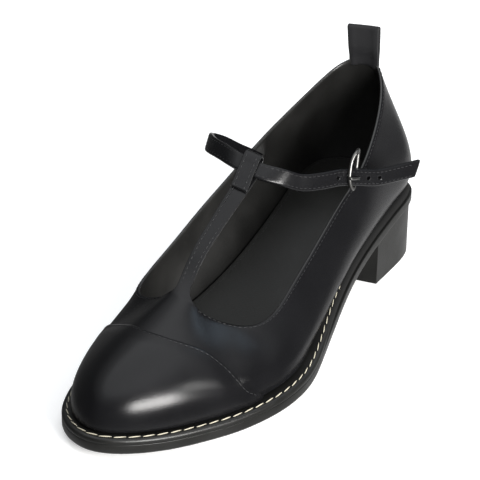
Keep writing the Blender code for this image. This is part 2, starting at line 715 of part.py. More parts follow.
def make_buckle(finish, collection):
    """Wire frame, bowed in front, that lies over the strap there and under it at the rear, and its prong."""
    outline = []
    for quarter, (a, b) in enumerate([(1, 1), (-1, 1), (-1, -1), (1, -1)]):
        long, wide = (FRAME_CORNER, FRAME_CORNER) if a > 0 else (FRONT_BOW, FRONT_ROUND)
        for turn in np.radians(np.linspace(0, 90, FRAME_CORNER_STEPS + 1) + 90 * quarter):
            outline.append((a * (FRAME_HALF_LENGTH - long) + long * math.cos(turn),
                            b * (FRAME_HALF_WIDTH - wide) + wide * math.sin(turn)))
    rise = (FRONT_BAR_OUT - REAR_BAR_OUT) / (FRAME_HALF_LENGTH - FRAME_BEND)
    frame = []
    for t, w in outline:
        out = min(FRONT_BAR_OUT, REAR_BAR_OUT + rise * (FRAME_HALF_LENGTH - t))
        frame.append((t, w + FRAME_RAISED, out))
    add_object("buckle_frame", wire("buckle_frame", at_buckle(frame), FRAME_WIRE, True), finish, collection)
    tip = FRONT_BAR_OUT + FRAME_WIRE + PRONG_WIRE + GAP
    prong = PRONG_ROUTE + [Waypoint(-FRAME_HALF_LENGTH - PRONG_TIP_PAST, 0.0, tip)]
    add_object("buckle_prong", wire("buckle_prong", at_buckle(prong), PRONG_WIRE, False), finish, collection)


def make_tab(finish, collection):
    """Short strap from inside the lateral quarter that folds round the rear bar of the buckle."""
    bar = (FRAME_HALF_LENGTH, REAR_BAR_OUT)
    radius = FRAME_WIRE + GAP + TAB_THICK / 2
    fold = [(bar[0] + row.along, row.across, bar[1] + radius + row.out) for row in TAB_SHORT_END]
    for angle in np.radians(np.linspace(90, 270, TAB_FOLD_STEPS + 1)):
        fold.append((bar[0] + radius * math.cos(angle), 0.0, bar[1] + radius * math.sin(angle)))
    middle = np.vstack([at_buckle(fold), TAB_LONG_END])
    middle = open_curve(middle, np.linspace(0, 1, TAB_STEPS + 1))
    along = unit(np.gradient(middle, axis=0))
    upper = strap_frames(BUCKLE_STRETCH)[2][0]
    corners = section_corners(TAB_WIDTH, TAB_THICK, TAB_CHAMFER)
    rings = []
    for i in range(len(middle)):
        rise = unit(upper - along[i] * (upper @ along[i]))
        rings.append(middle[i] + corners[:, :1] * rise + corners[:, 1:] * np.cross(along[i], rise))
    return add_object("buckle_tab", loft(rings, "buckle_tab"), finish, collection)


def make_pull_loop(finish, collection):
    """Ribbon folded at its top, whose two legs stand on the topline at the back."""
    keys = np.linspace(-PULL_REACH, PULL_REACH, PULL_COLUMNS + 1)
    top = last_surface(keys, 1.0) - last_normal(keys, 1.0) * WALL / 2
    centre = top[PULL_COLUMNS // 2] + np.array([0.0, PULL_SIDE, 0.0])
    across = np.linspace(-0.5, 0.5, PULL_COLUMNS + 1) * PULL_WIDTH
    order = np.argsort(top[:, 1])
    bend = np.interp(centre[1] + across, top[order, 1], top[order, 0]) - centre[0]
    drop = np.interp(centre[1] + across, top[order, 1], top[order, 2]) - centre[2]
    radius = PULL_FOLD_RADIUS
    legs = np.linspace(0, 1, PULL_ROWS + 1)
    height = PULL_HEIGHT - radius
    path = [(-radius, height * share) for share in legs]
    path += [(-radius * math.cos(a), height + radius * math.sin(a)) for a in np.radians([36, 72, 108, 144])]
    path += [(radius, height * share) for share in legs[::-1]]
    grid = []
    for step, lift in path:
        left = 1.0 - lift / PULL_HEIGHT
        ahead = (PULL_TWIST * across + PULL_LEAN * PULL_HEIGHT) * (1.0 - left)
        curve = bend * (PULL_BEND_KEPT + (1.0 - PULL_BEND_KEPT) * left)
        row = np.column_stack([centre[0] + step + curve + ahead, centre[1] + across,
                               centre[2] + 2 * GAP + lift + drop * left])
        grid.append(row)
    grid = np.array(grid)
    bm = bmesh.new()
    bmesh.ops.create_grid(bm, x_segments=grid.shape[1] - 1, y_segments=grid.shape[0] - 1, size=1.0)
    for vertex, point in zip(bm.verts, place(grid)):
        vertex.co = point
    mesh = bpy.data.meshes.new("pull_loop")
    bm.to_mesh(mesh)
    bm.free()
    part = add_object("pull_loop", mesh, finish, collection)
    solidify(part, PULL_THICK, 0.0)
    return part


def main():
    for old in list(bpy.data.objects):
        bpy.data.objects.remove(old, do_unlink=True)
    shoe = bpy.data.collections.new("low_heel_shoe")
    cutters = bpy.data.collections.new("cutters")
    for group in (shoe, cutters):
        bpy.context.scene.collection.children.link(group)
    leather = material("black_leather", (0.012, 0.012, 0.014), 0.28)
    edge = material("black_sole_edge", (0.014, 0.014, 0.014), 0.4)
    sock = material("black_sock", (0.02, 0.02, 0.02), 0.6)
    ribbon = material("black_ribbon", (0.03, 0.03, 0.032), 0.8)
    metal = material("dark_nickel", (0.25, 0.24, 0.23), 0.25, 1.0)
    make_plate("outsole", (0.0, 0.0), 0.0, OUTSOLE, edge, shoe, SOLE_EDGE_ROUND)
    make_plate("welt", (0.0, 0.0), OUTSOLE + GAP, WELT, edge, shoe, THIN_EDGE_ROUND)
    make_heel(edge, shoe)
    make_plate("insole", (1.0, WALL + 2 * GAP), SOLE_STACK + GAP, INSOLE, sock, shoe, THIN_EDGE_ROUND)
    make_upper(leather, shoe)
    make_toe_cap(leather, shoe)
    make_strap(leather, shoe, cutters)
    make_buckle(metal, shoe)
    make_tab(leather, shoe)
    make_pull_loop(ribbon, shoe)


main()
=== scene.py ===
# %% [markdown]
# Low heel shoe with a T-bar and an ankle strap.
# One left shoe in black polished leather stands on a pale floor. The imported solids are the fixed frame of
# this scene, and each cell below dresses one piece of it: it makes the fine shape of the leather, gives it
# a finish, and lets it stand for its solid.

# %% Load the frame
import math
from collections import namedtuple

import bmesh
import bpy
import numpy as np
from mathutils import Matrix, Vector


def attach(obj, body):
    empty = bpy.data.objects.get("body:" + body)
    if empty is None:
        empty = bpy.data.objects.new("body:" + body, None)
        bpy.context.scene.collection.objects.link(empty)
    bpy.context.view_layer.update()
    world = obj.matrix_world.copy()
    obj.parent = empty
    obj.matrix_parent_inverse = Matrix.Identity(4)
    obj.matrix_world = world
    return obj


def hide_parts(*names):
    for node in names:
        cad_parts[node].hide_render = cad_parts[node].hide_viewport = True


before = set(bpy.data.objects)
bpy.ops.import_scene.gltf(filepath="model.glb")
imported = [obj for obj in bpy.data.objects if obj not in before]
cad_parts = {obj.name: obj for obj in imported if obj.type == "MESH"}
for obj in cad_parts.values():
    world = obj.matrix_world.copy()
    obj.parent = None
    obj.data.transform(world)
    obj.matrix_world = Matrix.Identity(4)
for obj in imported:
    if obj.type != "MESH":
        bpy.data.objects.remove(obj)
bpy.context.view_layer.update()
MM = 0.001
print("solids:", sorted(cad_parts))

# %% [markdown]
# The last.
# A shoemaker stretches the upper over a last, a form of the foot. The solids were shaped by a short table
# of sections round that last, and the same table is repeated here, so the leather can be drawn as finely as
# the picture needs and still lie exactly on the solids. A copy of the solid could be smoothed instead, but
# a smoothed copy shrinks at its edges and gives no easy way to run a seam at a steady distance from the
# topline.

# %% Sections round the last, in millimetres
Section = namedtuple("Section", "name edge_x edge_y margin top_x top_y top_z rise swell lean")
SECTIONS = [
    Section("heel back", 0.5, -3.0, 3.0, 4.4, -4.0, 95.0, 0.32, 5.5, 75.0),
    Section("heel back lateral", 9.0, 24.0, 3.0, 8.6, 6.0, 89.6, 0.28, 8.0, 71.0),
    Section("heel lateral", 32.0, 30.0, 3.0, 28.5, 15.9, 79.8, 0.26, 7.0, 68.0),
    Section("seat lateral", 55.0, 31.0, 3.0, 58.0, 24.2, 68.6, 0.24, 6.5, 68.0),
    Section("waist lateral", 90.0, 34.2, 3.5, 89.0, 26.0, 56.1, 0.24, 6.5, 67.0),
    Section("arch lateral", 117.0, 40.0, 4.5, 117.0, 27.6, 45.8, 0.26, 6.0, 63.0),
    Section("joint lateral", 140.0, 45.7, 5.5, 140.0, 29.1, 38.4, 0.30, 5.0, 56.0),
    Section("ball lateral", 163.0, 50.5, 6.0, 160.0, 30.1, 33.0, 0.34, 3.5, 46.0),
    Section("throat corner lateral", 185.0, 50.8, 6.0, 175.0, 27.0, 32.5, 0.36, 3.0, 36.0),
    Section("throat lateral", 209.0, 45.0, 6.0, 185.0, 18.0, 36.0, 0.36, 3.0, 22.0),
    Section("vamp lateral", 234.0, 33.6, 6.0, 191.0, 10.0, 41.8, 0.34, 3.5, 11.0),
    Section("toe lateral", 255.0, 19.8, 6.0, 193.0, 5.0, 45.8, 0.33, 3.5, 9.0),
    Section("toe tip", 268.5, -3.0, 6.0, 193.0, -0.5, 47.6, 0.31, 3.0, 11.0),
    Section("toe medial", 259.0, -22.0, 6.0, 192.0, -6.0, 47.2, 0.28, 3.0, 14.0),
    Section("vamp medial", 239.0, -34.4, 6.0, 190.5, -10.5, 45.0, 0.27, 3.5, 22.0),
    Section("throat medial", 215.0, -41.6, 6.0, 187.5, -19.5, 40.6, 0.29, 4.5, 33.0),
    Section("throat corner medial", 191.0, -45.0, 6.0, 182.0, -29.5, 38.4, 0.33, 4.5, 51.0),
    Section("ball medial", 167.0, -40.5, 5.5, 167.0, -34.5, 39.4, 0.36, 5.0, 74.0),
    Section("joint medial", 140.0, -32.5, 4.5, 140.0, -36.5, 43.3, 0.36, 5.5, 88.0),
    Section("arch medial", 113.0, -28.5, 4.0, 114.0, -35.6, 51.2, 0.36, 6.0, 90.0),
    Section("waist medial", 86.0, -27.6, 3.5, 86.0, -33.4, 60.2, 0.36, 6.0, 86.0),
    Section("seat medial", 60.0, -28.6, 3.0, 62.0, -29.7, 70.2, 0.34, 4.5, 79.0),
    Section("heel medial", 34.0, -31.0, 3.0, 27.0, -22.8, 82.9, 0.30, 5.5, 71.0),
    Section("heel back medial", 11.0, -27.0, 3.0, 8.9, -16.0, 91.0, 0.30, 6.5, 73.0),
]
Under = namedtuple("Under", "x z")
UNDERSIDE = [
    Under(-5.0, 28.6), Under(30.0, 26.6), Under(55.0, 22.6), Under(82.0, 16.6), Under(101.0, 12.0),
    Under(123.0, 7.0), Under(140.0, 3.3), Under(154.0, 0.8), Under(165.0, 0.0), Under(210.0, 0.0),
    Under(235.0, 1.2), Under(252.0, 2.6), Under(272.0, 4.6),
]
GAP = 0.3
WALL = 1.8
OUTSOLE = 4.7
WELT = 2.7
INSOLE = 3.5
SOLE_STACK = OUTSOLE + GAP + WELT
REACH = 0.50
STEEP = 0.45
FLAT = 0.85
FULLEST = 0.5
print(len(SECTIONS), "sections round the last")

# %% [markdown]
# Curves through the sections.
# Blender's own curves could carry these rows, but a seam has to ask for points of a surface by number, so
# three small functions give smooth curves through rows of values: one closed, one open, and one that keeps
# flat stretches flat.

# %% Curves


def hermite(left, right, left_slope, right_slope, span, share):
    """Cubic between two values with the slopes given at its ends."""
    square, cube = share ** 2, share ** 3
    return (left * (2 * cube - 3 * square + 1) + right * (3 * square - 2 * cube)
            + span * (left_slope * (cube - 2 * square + share) + right_slope * (cube - square)))


def closed_curve(keys, values, at):
    """Closed cubic spline through rows of values, whose keys run from 0 up to, not including, 1."""
    span = np.diff(np.append(keys, keys[0] + 1))[:, None]
    here = np.arange(len(keys))
    ahead = np.roll(here, -1)
    stiffness = np.diag(2 * (1 / span + 1 / np.roll(span, 1))[:, 0])
    stiffness[here, ahead] = stiffness[ahead, here] = 1 / span[:, 0]
    pull = 3 * (values[ahead] - values) / span ** 2
    slope = np.linalg.solve(stiffness, pull + np.roll(pull, 1, axis=0))
    at = np.mod(np.atleast_1d(at), 1.0)
    i = np.searchsorted(keys, at, side="right") - 1
    share = ((at - keys[i]) / span[i, 0])[:, None]
    return hermite(values[i], values[ahead[i]], slope[i], slope[ahead[i]], span[i], share)


def open_curve(points, at):
    """Smooth open curve through points, by shares from 0 to 1 of its chord length."""
    points = np.asarray(points, float)
    span = np.linalg.norm(np.diff(points[:, :3], axis=0), axis=1)
    key = np.concatenate([[0.0], np.cumsum(span)])
    step = np.diff(points, axis=0) / span[:, None]
    middle = (step[:-1] * span[1:, None] + step[1:] * span[:-1, None]) / (span[1:] + span[:-1])[:, None]
    slope = np.concatenate([step[:1], middle, step[-1:]])
    at = np.clip(np.atleast_1d(at), 0, 1) * key[-1]
    i = np.clip(np.searchsorted(key, at, side="right") - 1, 0, len(span) - 1)
    share = ((at - key[i]) / span[i])[:, None]
    return hermite(points[i], points[i + 1], slope[i], slope[i + 1], span[i][:, None], share)


def steady_curve(rows, at):
    """Curve through rows of two values that keeps flat stretches flat and adds no bumps."""
    x, z = np.array(rows, float).T
    span = np.diff(x)
    step = np.diff(z) / span
    same_way = step[:-1] * step[1:] > 0
    total = np.where(same_way, step[:-1] + step[1:], 1.0)
    middle = np.where(same_way, 2 * step[:-1] * step[1:] / total, 0.0)
    slope = np.concatenate([step[:1], middle, step[-1:]])
    at = np.clip(at, x[0], x[-1])
    i = np.clip(np.searchsorted(x, at, side="right") - 1, 0, len(span) - 1)
    share = (at - x[i]) / span[i]
    return hermite(z[i], z[i + 1], slope[i], slope[i + 1], span[i], share)


def unit(vectors):
    """Vectors at length one."""
    return vectors / np.linalg.norm(vectors, axis=-1, keepdims=True)


print("on a flat stretch at height 2:", steady_curve([(0.0, 1.0), (1.0, 2.0), (2.0, 2.0)], np.array([1.5])))

# %% [markdown]
# Surface of the last.
# The leather rises from the feather line, where it meets the sole, to the topline. Each section gives one
# curve between the two, which swells and leans as its row says, and the closed curve above carries the rows
# smoothly round the shoe. A sculpted mesh could look the same, but this surface can be asked for any of its
# points and for the direction out of the shoe there, which every seam and overlay below needs.

# %% Surface of the last
OUTLINE_POINTS = 721
EDGE = np.array([[row.edge_x, row.edge_y] for row in SECTIONS])
EDGE_STEPS = np.linalg.norm(np.diff(np.vstack([EDGE, EDGE[:1]]), axis=0), axis=1)
EDGE_KEYS = np.concatenate([[0.0], np.cumsum(EDGE_STEPS)[:-1]]) / EDGE_STEPS.sum()
KEY_OF = {row.name: key for row, key in zip(SECTIONS, EDGE_KEYS)}
COLUMN_VALUES = np.array([row[1:] for row in SECTIONS])
SMALL = 1e-4


def sections_at(round_key):
    """Every column of the table of sections, anywhere round the shoe."""
    return closed_curve(EDGE_KEYS, COLUMN_VALUES, round_key)


def outward(round_key):
    """Level direction out of the sole's edge."""
    round_key = np.asarray(round_key)
    along = sections_at(round_key + SMALL)[:, :2] - sections_at(round_key - SMALL)[:, :2]
    return unit(np.stack([-along[:, 1], along[:, 0]], axis=1))


def sole_line(round_key, inset):
    """Points of the sole's edge, moved inward."""
    return sections_at(round_key)[:, :2] - outward(round_key) * np.reshape(inset, (-1, 1))


def underside(x):
    """Height of the sole's underside over the floor."""
    return steady_curve(UNDERSIDE, x)


def last_surface(round_key, share):
    """Outer face of the upper: from the feather line (share 0) to the topline (share 1)."""
    round_key = np.atleast_1d(round_key)
    share = np.broadcast_to(share, round_key.shape)[:, None]
    row = sections_at(round_key)
    margin, top, rise, swell, lean = row[:, 2], row[:, 3:6], row[:, 6:7], row[:, 7:8], np.radians(row[:, 8:9])
    flat = sole_line(round_key, margin)
    foot = np.column_stack([flat, underside(flat[:, 0]) + SOLE_STACK + GAP])
    out = np.column_stack([outward(round_key), np.zeros(len(round_key))])
    up = np.array([0.0, 0.0, 1.0])
    distance = np.linalg.norm(top - foot, axis=1, keepdims=True)
    down_slope = (foot - top) * np.array([1.0, 1.0, 0.0]) / distance
    flatness = np.linalg.norm(down_slope, axis=1, keepdims=True)
    turn = np.clip((flatness - STEEP) / (FLAT - STEEP), 0.0, 1.0)
    ahead = unit((1 - turn) * out + turn * down_slope / np.maximum(flatness, STEEP))
    first = foot + up * rise * distance + out * swell
    second = top + REACH * distance * (ahead * np.cos(lean) - up * np.sin(lean))
    rest = 1 - share
    return (rest ** 3 * foot + 3 * rest ** 2 * share * first + 3 * rest * share ** 2 * second
            + share ** 3 * top)


def last_normal(round_key, share):
    """Outward direction of the upper's outer face."""
    round_key = np.atleast_1d(round_key)
    share = np.clip(np.broadcast_to(share, round_key.shape), SMALL, 1 - SMALL)
    around = last_surface(round_key + SMALL, share) - last_surface(round_key - SMALL, share)
    rising = last_surface(round_key, share + SMALL) - last_surface(round_key, share - SMALL)
    return unit(np.cross(rising, around))


ALL_ROUND = np.linspace(0, 1, OUTLINE_POINTS)
OUTLINE = np.vstack([sections_at(ALL_ROUND)[:, :2], last_surface(ALL_ROUND, FULLEST)[:, :2]])
MIDDLE = (OUTLINE.min(axis=0) + OUTLINE.max(axis=0)) / 2


def place(points):
    """Millimetres in the tables to metres about the middle of the shoe."""
    points = np.asarray(points, float).reshape(-1, 3)
    return (points - np.array([MIDDLE[0], MIDDLE[1], 0.0])) * MM


print("middle of the shoe in the tables:", MIDDLE.round(2))

# %% [markdown]
# Camera.
# The picture is taken from the front and the outer side, a little above the shoe, with a long lens, so the
# far heel looks nearly as large as the near toe. Place and lens were found by trying until the outlines
# agreed.

# %% Camera
EYE = Vector((1.2038, 0.6702, 0.7306))
AIM = Vector((0.0, -0.006, 0.050))
LENS = 248.0
SENSOR_WIDTH = 36.0
camera = bpy.data.objects.new("camera", bpy.data.cameras.new("camera"))
camera.location = EYE
camera.rotation_euler = (AIM - EYE).to_track_quat("-Z", "Y").to_euler()
camera.data.sensor_width = SENSOR_WIDTH
camera.data.lens = LENS
bpy.context.scene.collection.objects.link(camera)
bpy.context.scene.camera = camera
print("camera stands", round((AIM - EYE).length, 3), "m from the shoe")

# %% [markdown]
# Floor and light.
# Polished leather shows the room more than its own colour, so the light is planned by what the leather
# mirrors. Each height of the room has its own tone: dim at the walls, pale overhead. A wide window low on
# the outer side gives the long highlight of the toe, a small one draws it out toward the cap's seam, a cool
# panel gives the bluish patch on the vamp, and a pale floor behind the shoe the band along the bottom of
# the quarter. The floor itself would be too bright in the leather, so it is hidden from mirror rays.

# %% Floor
WHITE = (1.0, 1.0, 1.0)
FLOOR_SIZE = 6.0
FLOOR_TONE = (0.88, 0.88, 0.88, 1.0)
FLOOR_ROUGHNESS = 0.8
FLOOR_GLOW = 0.32

bpy.context.scene.view_settings.view_transform = "Standard"


def floor_paper():
    """White paper that glows a little, as a floor lit from below does."""
    made = bpy.data.materials.new("floor_paper")
    made.use_nodes = True
    shader = made.node_tree.nodes["Principled BSDF"]
    shader.inputs["Base Color"].default_value = FLOOR_TONE
    shader.inputs["Roughness"].default_value = FLOOR_ROUGHNESS
    shader.inputs["Emission Color"].default_value = (*WHITE, 1.0)
    shader.inputs["Emission Strength"].default_value = FLOOR_GLOW
    return made


floor_mesh = bpy.data.meshes.new("floor")
bm = bmesh.new()
bmesh.ops.create_grid(bm, x_segments=1, y_segments=1, size=FLOOR_SIZE)
bm.to_mesh(floor_mesh)
bm.free()
floor_mesh.materials.append(floor_paper())
floor = bpy.data.objects.new("floor", floor_mesh)
bpy.context.scene.collection.objects.link(floor)
floor.visible_glossy = False
print("floor is", round(floor.dimensions.x, 1), "m wide")

# %% Room
ROOM_STRENGTH = 2.0
COOL = (0.96, 0.98, 1.0)
FLOOR_BEHIND = 0.36
Ease = namedtuple("Ease", "start end")
BEHIND = Ease(-0.72, -0.88)
BELOW = Ease(-0.08, -0.26)
Tone = namedtuple("Tone", "height tone tint")
ROOM = [
    Tone(-1.0, 0.50, WHITE), Tone(-0.64, 0.50, WHITE), Tone(-0.46, 0.10, WHITE), Tone(-0.25, 0.04, WHITE),
    Tone(0.40, 0.04, COOL), Tone(0.66, 0.25, COOL), Tone(0.84, 0.80, COOL), Tone(1.0, 0.80, COOL),
]


def studio_world():
    """Room that polished leather mirrors: a tone for each height, and a pale floor low behind the shoe."""
    made = bpy.data.worlds.new("studio")
    made.use_nodes = True
    nodes, links = made.node_tree.nodes, made.node_tree.links
    where = nodes.new("ShaderNodeTexCoord")
    split = nodes.new("ShaderNodeSeparateXYZ")
    links.new(where.outputs["Generated"], split.inputs["Vector"])
    height = nodes.new("ShaderNodeMapRange")
    height.inputs["From Min"].default_value = -1.0
    links.new(split.outputs["Z"], height.inputs["Value"])
    tones = nodes.new("ShaderNodeValToRGB")
    tones.color_ramp.interpolation = "EASE"
    while len(tones.color_ramp.elements) < len(ROOM):
        tones.color_ramp.elements.new(1.0)
    for stop, row in zip(tones.color_ramp.elements, ROOM):
        stop.position = (row.height + 1.0) / 2
        stop.color = (*(row.tone * np.array(row.tint)), 1.0)
    links.new(height.outputs["Result"], tones.inputs["Fac"])
    factors = []
    for part, ease in (("X", BEHIND), ("Z", BELOW)):
        factor = nodes.new("ShaderNodeMapRange")
        factor.interpolation_type = "SMOOTHSTEP"
        factor.inputs["From Min"].default_value = ease.start
        factor.inputs["From Max"].default_value = ease.end
        links.new(split.outputs[part], factor.inputs["Value"])
        factors.append(factor)
    both = nodes.new("ShaderNodeMath")
    both.operation = "MULTIPLY"
    for factor, socket in zip(factors, both.inputs):
        links.new(factor.outputs["Result"], socket)
    mixed = nodes.new("ShaderNodeMix")
    mixed.data_type = "RGBA"
    mixed.inputs["B"].default_value = (FLOOR_BEHIND, FLOOR_BEHIND, FLOOR_BEHIND, 1.0)
    links.new(both.outputs["Value"], mixed.inputs["Factor"])
    links.new(tones.outputs["Color"], mixed.inputs["A"])
    links.new(mixed.outputs["Result"], nodes["Background"].inputs["Color"])
    nodes["Background"].inputs["Strength"].default_value = ROOM_STRENGTH
    return made


bpy.context.scene.world = studio_world()
print(len(ROOM), "tones in the room")

# %% Windows
Panel = namedtuple("Panel", "name toward distance width height power colour")
PANELS = [
    Panel("window_front", (0.40, 0.87, 0.27), 1.5, 0.96, 0.48, 58.0, (1.0, 0.99, 0.97)),
    Panel("window_side", (-0.11, 0.89, 0.42), 1.5, 0.20, 0.26, 2.8, (1.0, 0.99, 0.97)),
    Panel("panel_cool", (-0.81, 0.17, 0.57), 1.6, 0.35, 0.30, 0.5, (0.60, 0.80, 1.0)),
]
for row in PANELS:
    light = bpy.data.objects.new(row.name, bpy.data.lights.new(row.name, "AREA"))
    light.data.shape = "RECTANGLE"
    light.data.size = row.width
    light.data.size_y = row.height
    light.data.energy = row.power
    light.data.color = row.colour
    light.location = Vector(row.toward).normalized() * row.distance
    light.rotation_euler = (-Vector(row.toward)).to_track_quat("-Z", "Y").to_euler()
    bpy.context.scene.collection.objects.link(light)
print(len(PANELS), "lights")

# %% [markdown]
# Finishes.
# Polished calf is black with a fine grain that only shows where light glances off it, so its colour is
# nearly flat, and its roughness and a very low bump carry the detail. The same few nodes, read on Object
# coordinates, make the leather, the matte lining, the sock, the sole's edge, the ribbon and the threads:
# only their numbers differ.

# %% How a finish is made
PAINTED_SHADE_LAYER = "painted_shade"
# Painted shade: the near-black tone and matte roughness that a piece's layer mixes in where shade falls in a
# recess.
PAINTED_SHADE_TONE = (0.002, 0.002, 0.002, 1.0)
DULL_ROUGHNESS = 0.95
PATCH_DETAIL = 3.0
PATCH_LOW = 0.3
PATCH_HIGH = 0.7
GRAIN_DETAIL = 4.0
Finish = namedtuple("Finish", "dark light smooth rough patch_scale grain_scale grain_depth ior metal")


def make_finish(name, row, with_painted_shade=False):
    """Material with two close tones, uneven gloss and a fine grain; painted shade, darker and matte, where a
    piece's layer says so.
    """
    made = bpy.data.materials.new(name)
    made.use_nodes = True
    nodes, links = made.node_tree.nodes, made.node_tree.links
    shader = nodes["Principled BSDF"]
    where = nodes.new("ShaderNodeTexCoord")
    patches = nodes.new("ShaderNodeTexNoise")
    patches.inputs["Scale"].default_value = row.patch_scale
    patches.inputs["Detail"].default_value = PATCH_DETAIL
    links.new(where.outputs["Object"], patches.inputs["Vector"])
    tone = nodes.new("ShaderNodeMix")
    tone.data_type = "RGBA"
    tone.inputs["A"].default_value = (*row.dark, 1.0)
    tone.inputs["B"].default_value = (*row.light, 1.0)
    links.new(patches.outputs["Fac"], tone.inputs["Factor"])
    links.new(tone.outputs["Result"], shader.inputs["Base Color"])
    gloss = nodes.new("ShaderNodeMapRange")
    gloss.inputs["From Min"].default_value = PATCH_LOW
    gloss.inputs["From Max"].default_value = PATCH_HIGH
    gloss.inputs["To Min"].default_value = row.smooth
    gloss.inputs["To Max"].default_value = row.rough
    links.new(patches.outputs["Fac"], gloss.inputs["Value"])
    links.new(gloss.outputs["Result"], shader.inputs["Roughness"])
    # Painted shade: the piece's layer darkens the colour toward near black and makes the finish matte.
    if with_painted_shade:
        shade = nodes.new("ShaderNodeAttribute")
        shade.attribute_name = PAINTED_SHADE_LAYER
        for made_value, painted_shade_value, socket, kind in (
                (tone, PAINTED_SHADE_TONE, "Base Color", "RGBA"), (gloss, DULL_ROUGHNESS, "Roughness", "FLOAT")):
            mix = nodes.new("ShaderNodeMix")
            mix.data_type = kind
            mix.inputs["B"].default_value = painted_shade_value
            links.new(shade.outputs["Fac"], mix.inputs["Factor"])
            links.new(made_value.outputs["Result"], mix.inputs["A"])
            links.new(mix.outputs["Result"], shader.inputs[socket])
    grain = nodes.new("ShaderNodeTexNoise")
    grain.inputs["Scale"].default_value = row.grain_scale
    grain.inputs["Detail"].default_value = GRAIN_DETAIL
    links.new(where.outputs["Object"], grain.inputs["Vector"])
    bump = nodes.new("ShaderNodeBump")
    bump.inputs["Strength"].default_value = 1.0
    bump.inputs["Distance"].default_value = row.grain_depth * MM
    links.new(grain.outputs["Fac"], bump.inputs["Height"])
    links.new(bump.outputs["Normal"], shader.inputs["Normal"])
    shader.inputs["IOR"].default_value = row.ior
    shader.inputs["Metallic"].default_value = row.metal
    return made


print("a finish has", len(Finish._fields), "values")

# %% Finishes of the shoe
leather = make_finish("polished_leather", Finish(
    (0.0032, 0.0032, 0.0036), (0.006, 0.006, 0.0067), 0.17, 0.27, 40.0, 1500.0, 0.055, 1.32, 0.0))
lining = make_finish("lining_leather", Finish(
    (0.0055, 0.0055, 0.0053), (0.0105, 0.0102, 0.0095), 0.42, 0.56, 60.0, 1300.0, 0.06, 1.35, 0.0))
sock = make_finish("sock_leather", Finish(
    (0.0060, 0.0060, 0.0054), (0.011, 0.011, 0.0098), 0.38, 0.50, 50.0, 1100.0, 0.08, 1.36, 0.0))
# Inked edge of the sole; on a piece that carries the painted-shade layer, as the welt does, it also paints
# shade.
sole_edge = make_finish("inked_sole_edge_and_painted_shade", Finish(
    (0.0045, 0.0045, 0.0042), (0.0085, 0.0085, 0.0078), 0.30, 0.42, 70.0, 1500.0, 0.06, 1.40, 0.0),
    with_painted_shade=True)
cut_edge = make_finish("painted_cut_edge", Finish(
    (0.012, 0.012, 0.012), (0.020, 0.020, 0.020), 0.18, 0.26, 90.0, 1500.0, 0.02, 1.42, 0.0))
pared_edge = make_finish("pared_cap_edge", Finish(
    (0.050, 0.050, 0.049), (0.075, 0.075, 0.073), 0.24, 0.34, 90.0, 1500.0, 0.02, 1.50, 0.0))
ribbon = make_finish("ribbon", Finish(
    (0.006, 0.006, 0.007), (0.012, 0.012, 0.013), 0.55, 0.70, 90.0, 2600.0, 0.10, 1.35, 0.0))
metal = make_finish("dark_nickel", Finish(
    (0.125, 0.123, 0.118), (0.19, 0.187, 0.18), 0.32, 0.42, 120.0, 900.0, 0.003, 1.50, 1.0))
black_thread = make_finish("black_thread", Finish(
    (0.008, 0.008, 0.009), (0.016, 0.016, 0.017), 0.36, 0.48, 300.0, 3000.0, 0.10, 1.36, 0.0))
cream_thread = make_finish("cream_thread", Finish(
    (0.34, 0.31, 0.235), (0.52, 0.485, 0.39), 0.55, 0.70, 400.0, 2600.0, 0.12, 1.45, 0.0))
print(len(bpy.data.materials), "materials")

# %% [markdown]
# Helpers for leather.
# A sheet of leather starts as Blender's own grid, whose vertices are moved to points of the last. Solidify
# then gives it a wall and Subdivision Surface rounds its cut edges, as a shoemaker's folded edge is round.
# This keeps the faces in even rows, which an extruded outline wouldn't.

# %% Sheets
WELD = 0.00001


def grid_sheet(points, wrap=False):
    """Grid whose vertices lie at rows of points; wrap welds its last column to its first."""
    rows, columns = points.shape[:2]
    sheet = bmesh.new()
    bmesh.ops.create_grid(sheet, x_segments=columns - 1, y_segments=rows - 1, size=1.0)
    for vertex, point in zip(sheet.verts, place(points)):
        vertex.co = point
    if wrap:
        bmesh.ops.remove_doubles(sheet, verts=sheet.verts, dist=WELD)
    return sheet


def join_sheets(*sheets):
    """One bmesh from several, with the points that they share welded."""
    whole = bmesh.new()
    for sheet in sheets:
        made = bpy.data.meshes.new("sheet")
        sheet.to_mesh(made)
        sheet.free()
        whole.from_mesh(made)
        bpy.data.meshes.remove(made)
    bmesh.ops.remove_doubles(whole, verts=whole.verts, dist=WELD)
    return whole


def face_away(sheet, inside):
    """Turn an open sheet's faces away from a point inside the shoe."""
    bmesh.ops.recalc_face_normals(sheet, faces=sheet.faces)
    inside = Vector(place(inside)[0])
    outward_total = sum(face.normal.dot(face.calc_center_median() - inside) * face.calc_area()
                        for face in sheet.faces)
    if outward_total < 0:
        bmesh.ops.reverse_faces(sheet, faces=sheet.faces)


print("sheets weld points closer than", WELD / MM, "mm")

# %% Pieces


def new_piece(name, shape, finishes, slot, *nodes):
    """Object from a bmesh, riding on the shoe and standing for the solids named."""
    mesh = bpy.data.meshes.new(name)
    shape.to_mesh(mesh)
    shape.free()
    for finish in finishes:
        mesh.materials.append(finish)
    mesh.shade_smooth()
    piece = bpy.data.objects.new(name, mesh)
    bpy.context.scene.collection.objects.link(piece)
    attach(piece, "root")
    if nodes:
        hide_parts(*nodes)
    print(name, len(mesh.polygons), "faces before its modifiers")
    return piece


def add_wall(piece, thickness, offset=-1.0, inner_finish=0, rim_finish=0):
    """Give a sheet its thickness in millimetres; its inner face and its rim may take later finishes."""
    wall = piece.modifiers.new("wall", "SOLIDIFY")
    wall.thickness = thickness * MM
    wall.offset = offset
    wall.use_even_offset = True
    wall.use_quality_normals = True
    wall.material_offset = inner_finish
    wall.material_offset_rim = rim_finish
    return wall


def add_smoothing(piece, levels=1):
    """Round the piece and its cut edges."""
    smooth = piece.modifiers.new("smooth", "SUBSURF")
    smooth.levels = levels
    smooth.render_levels = levels


print("solids that the pieces below stand for:", len(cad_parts))

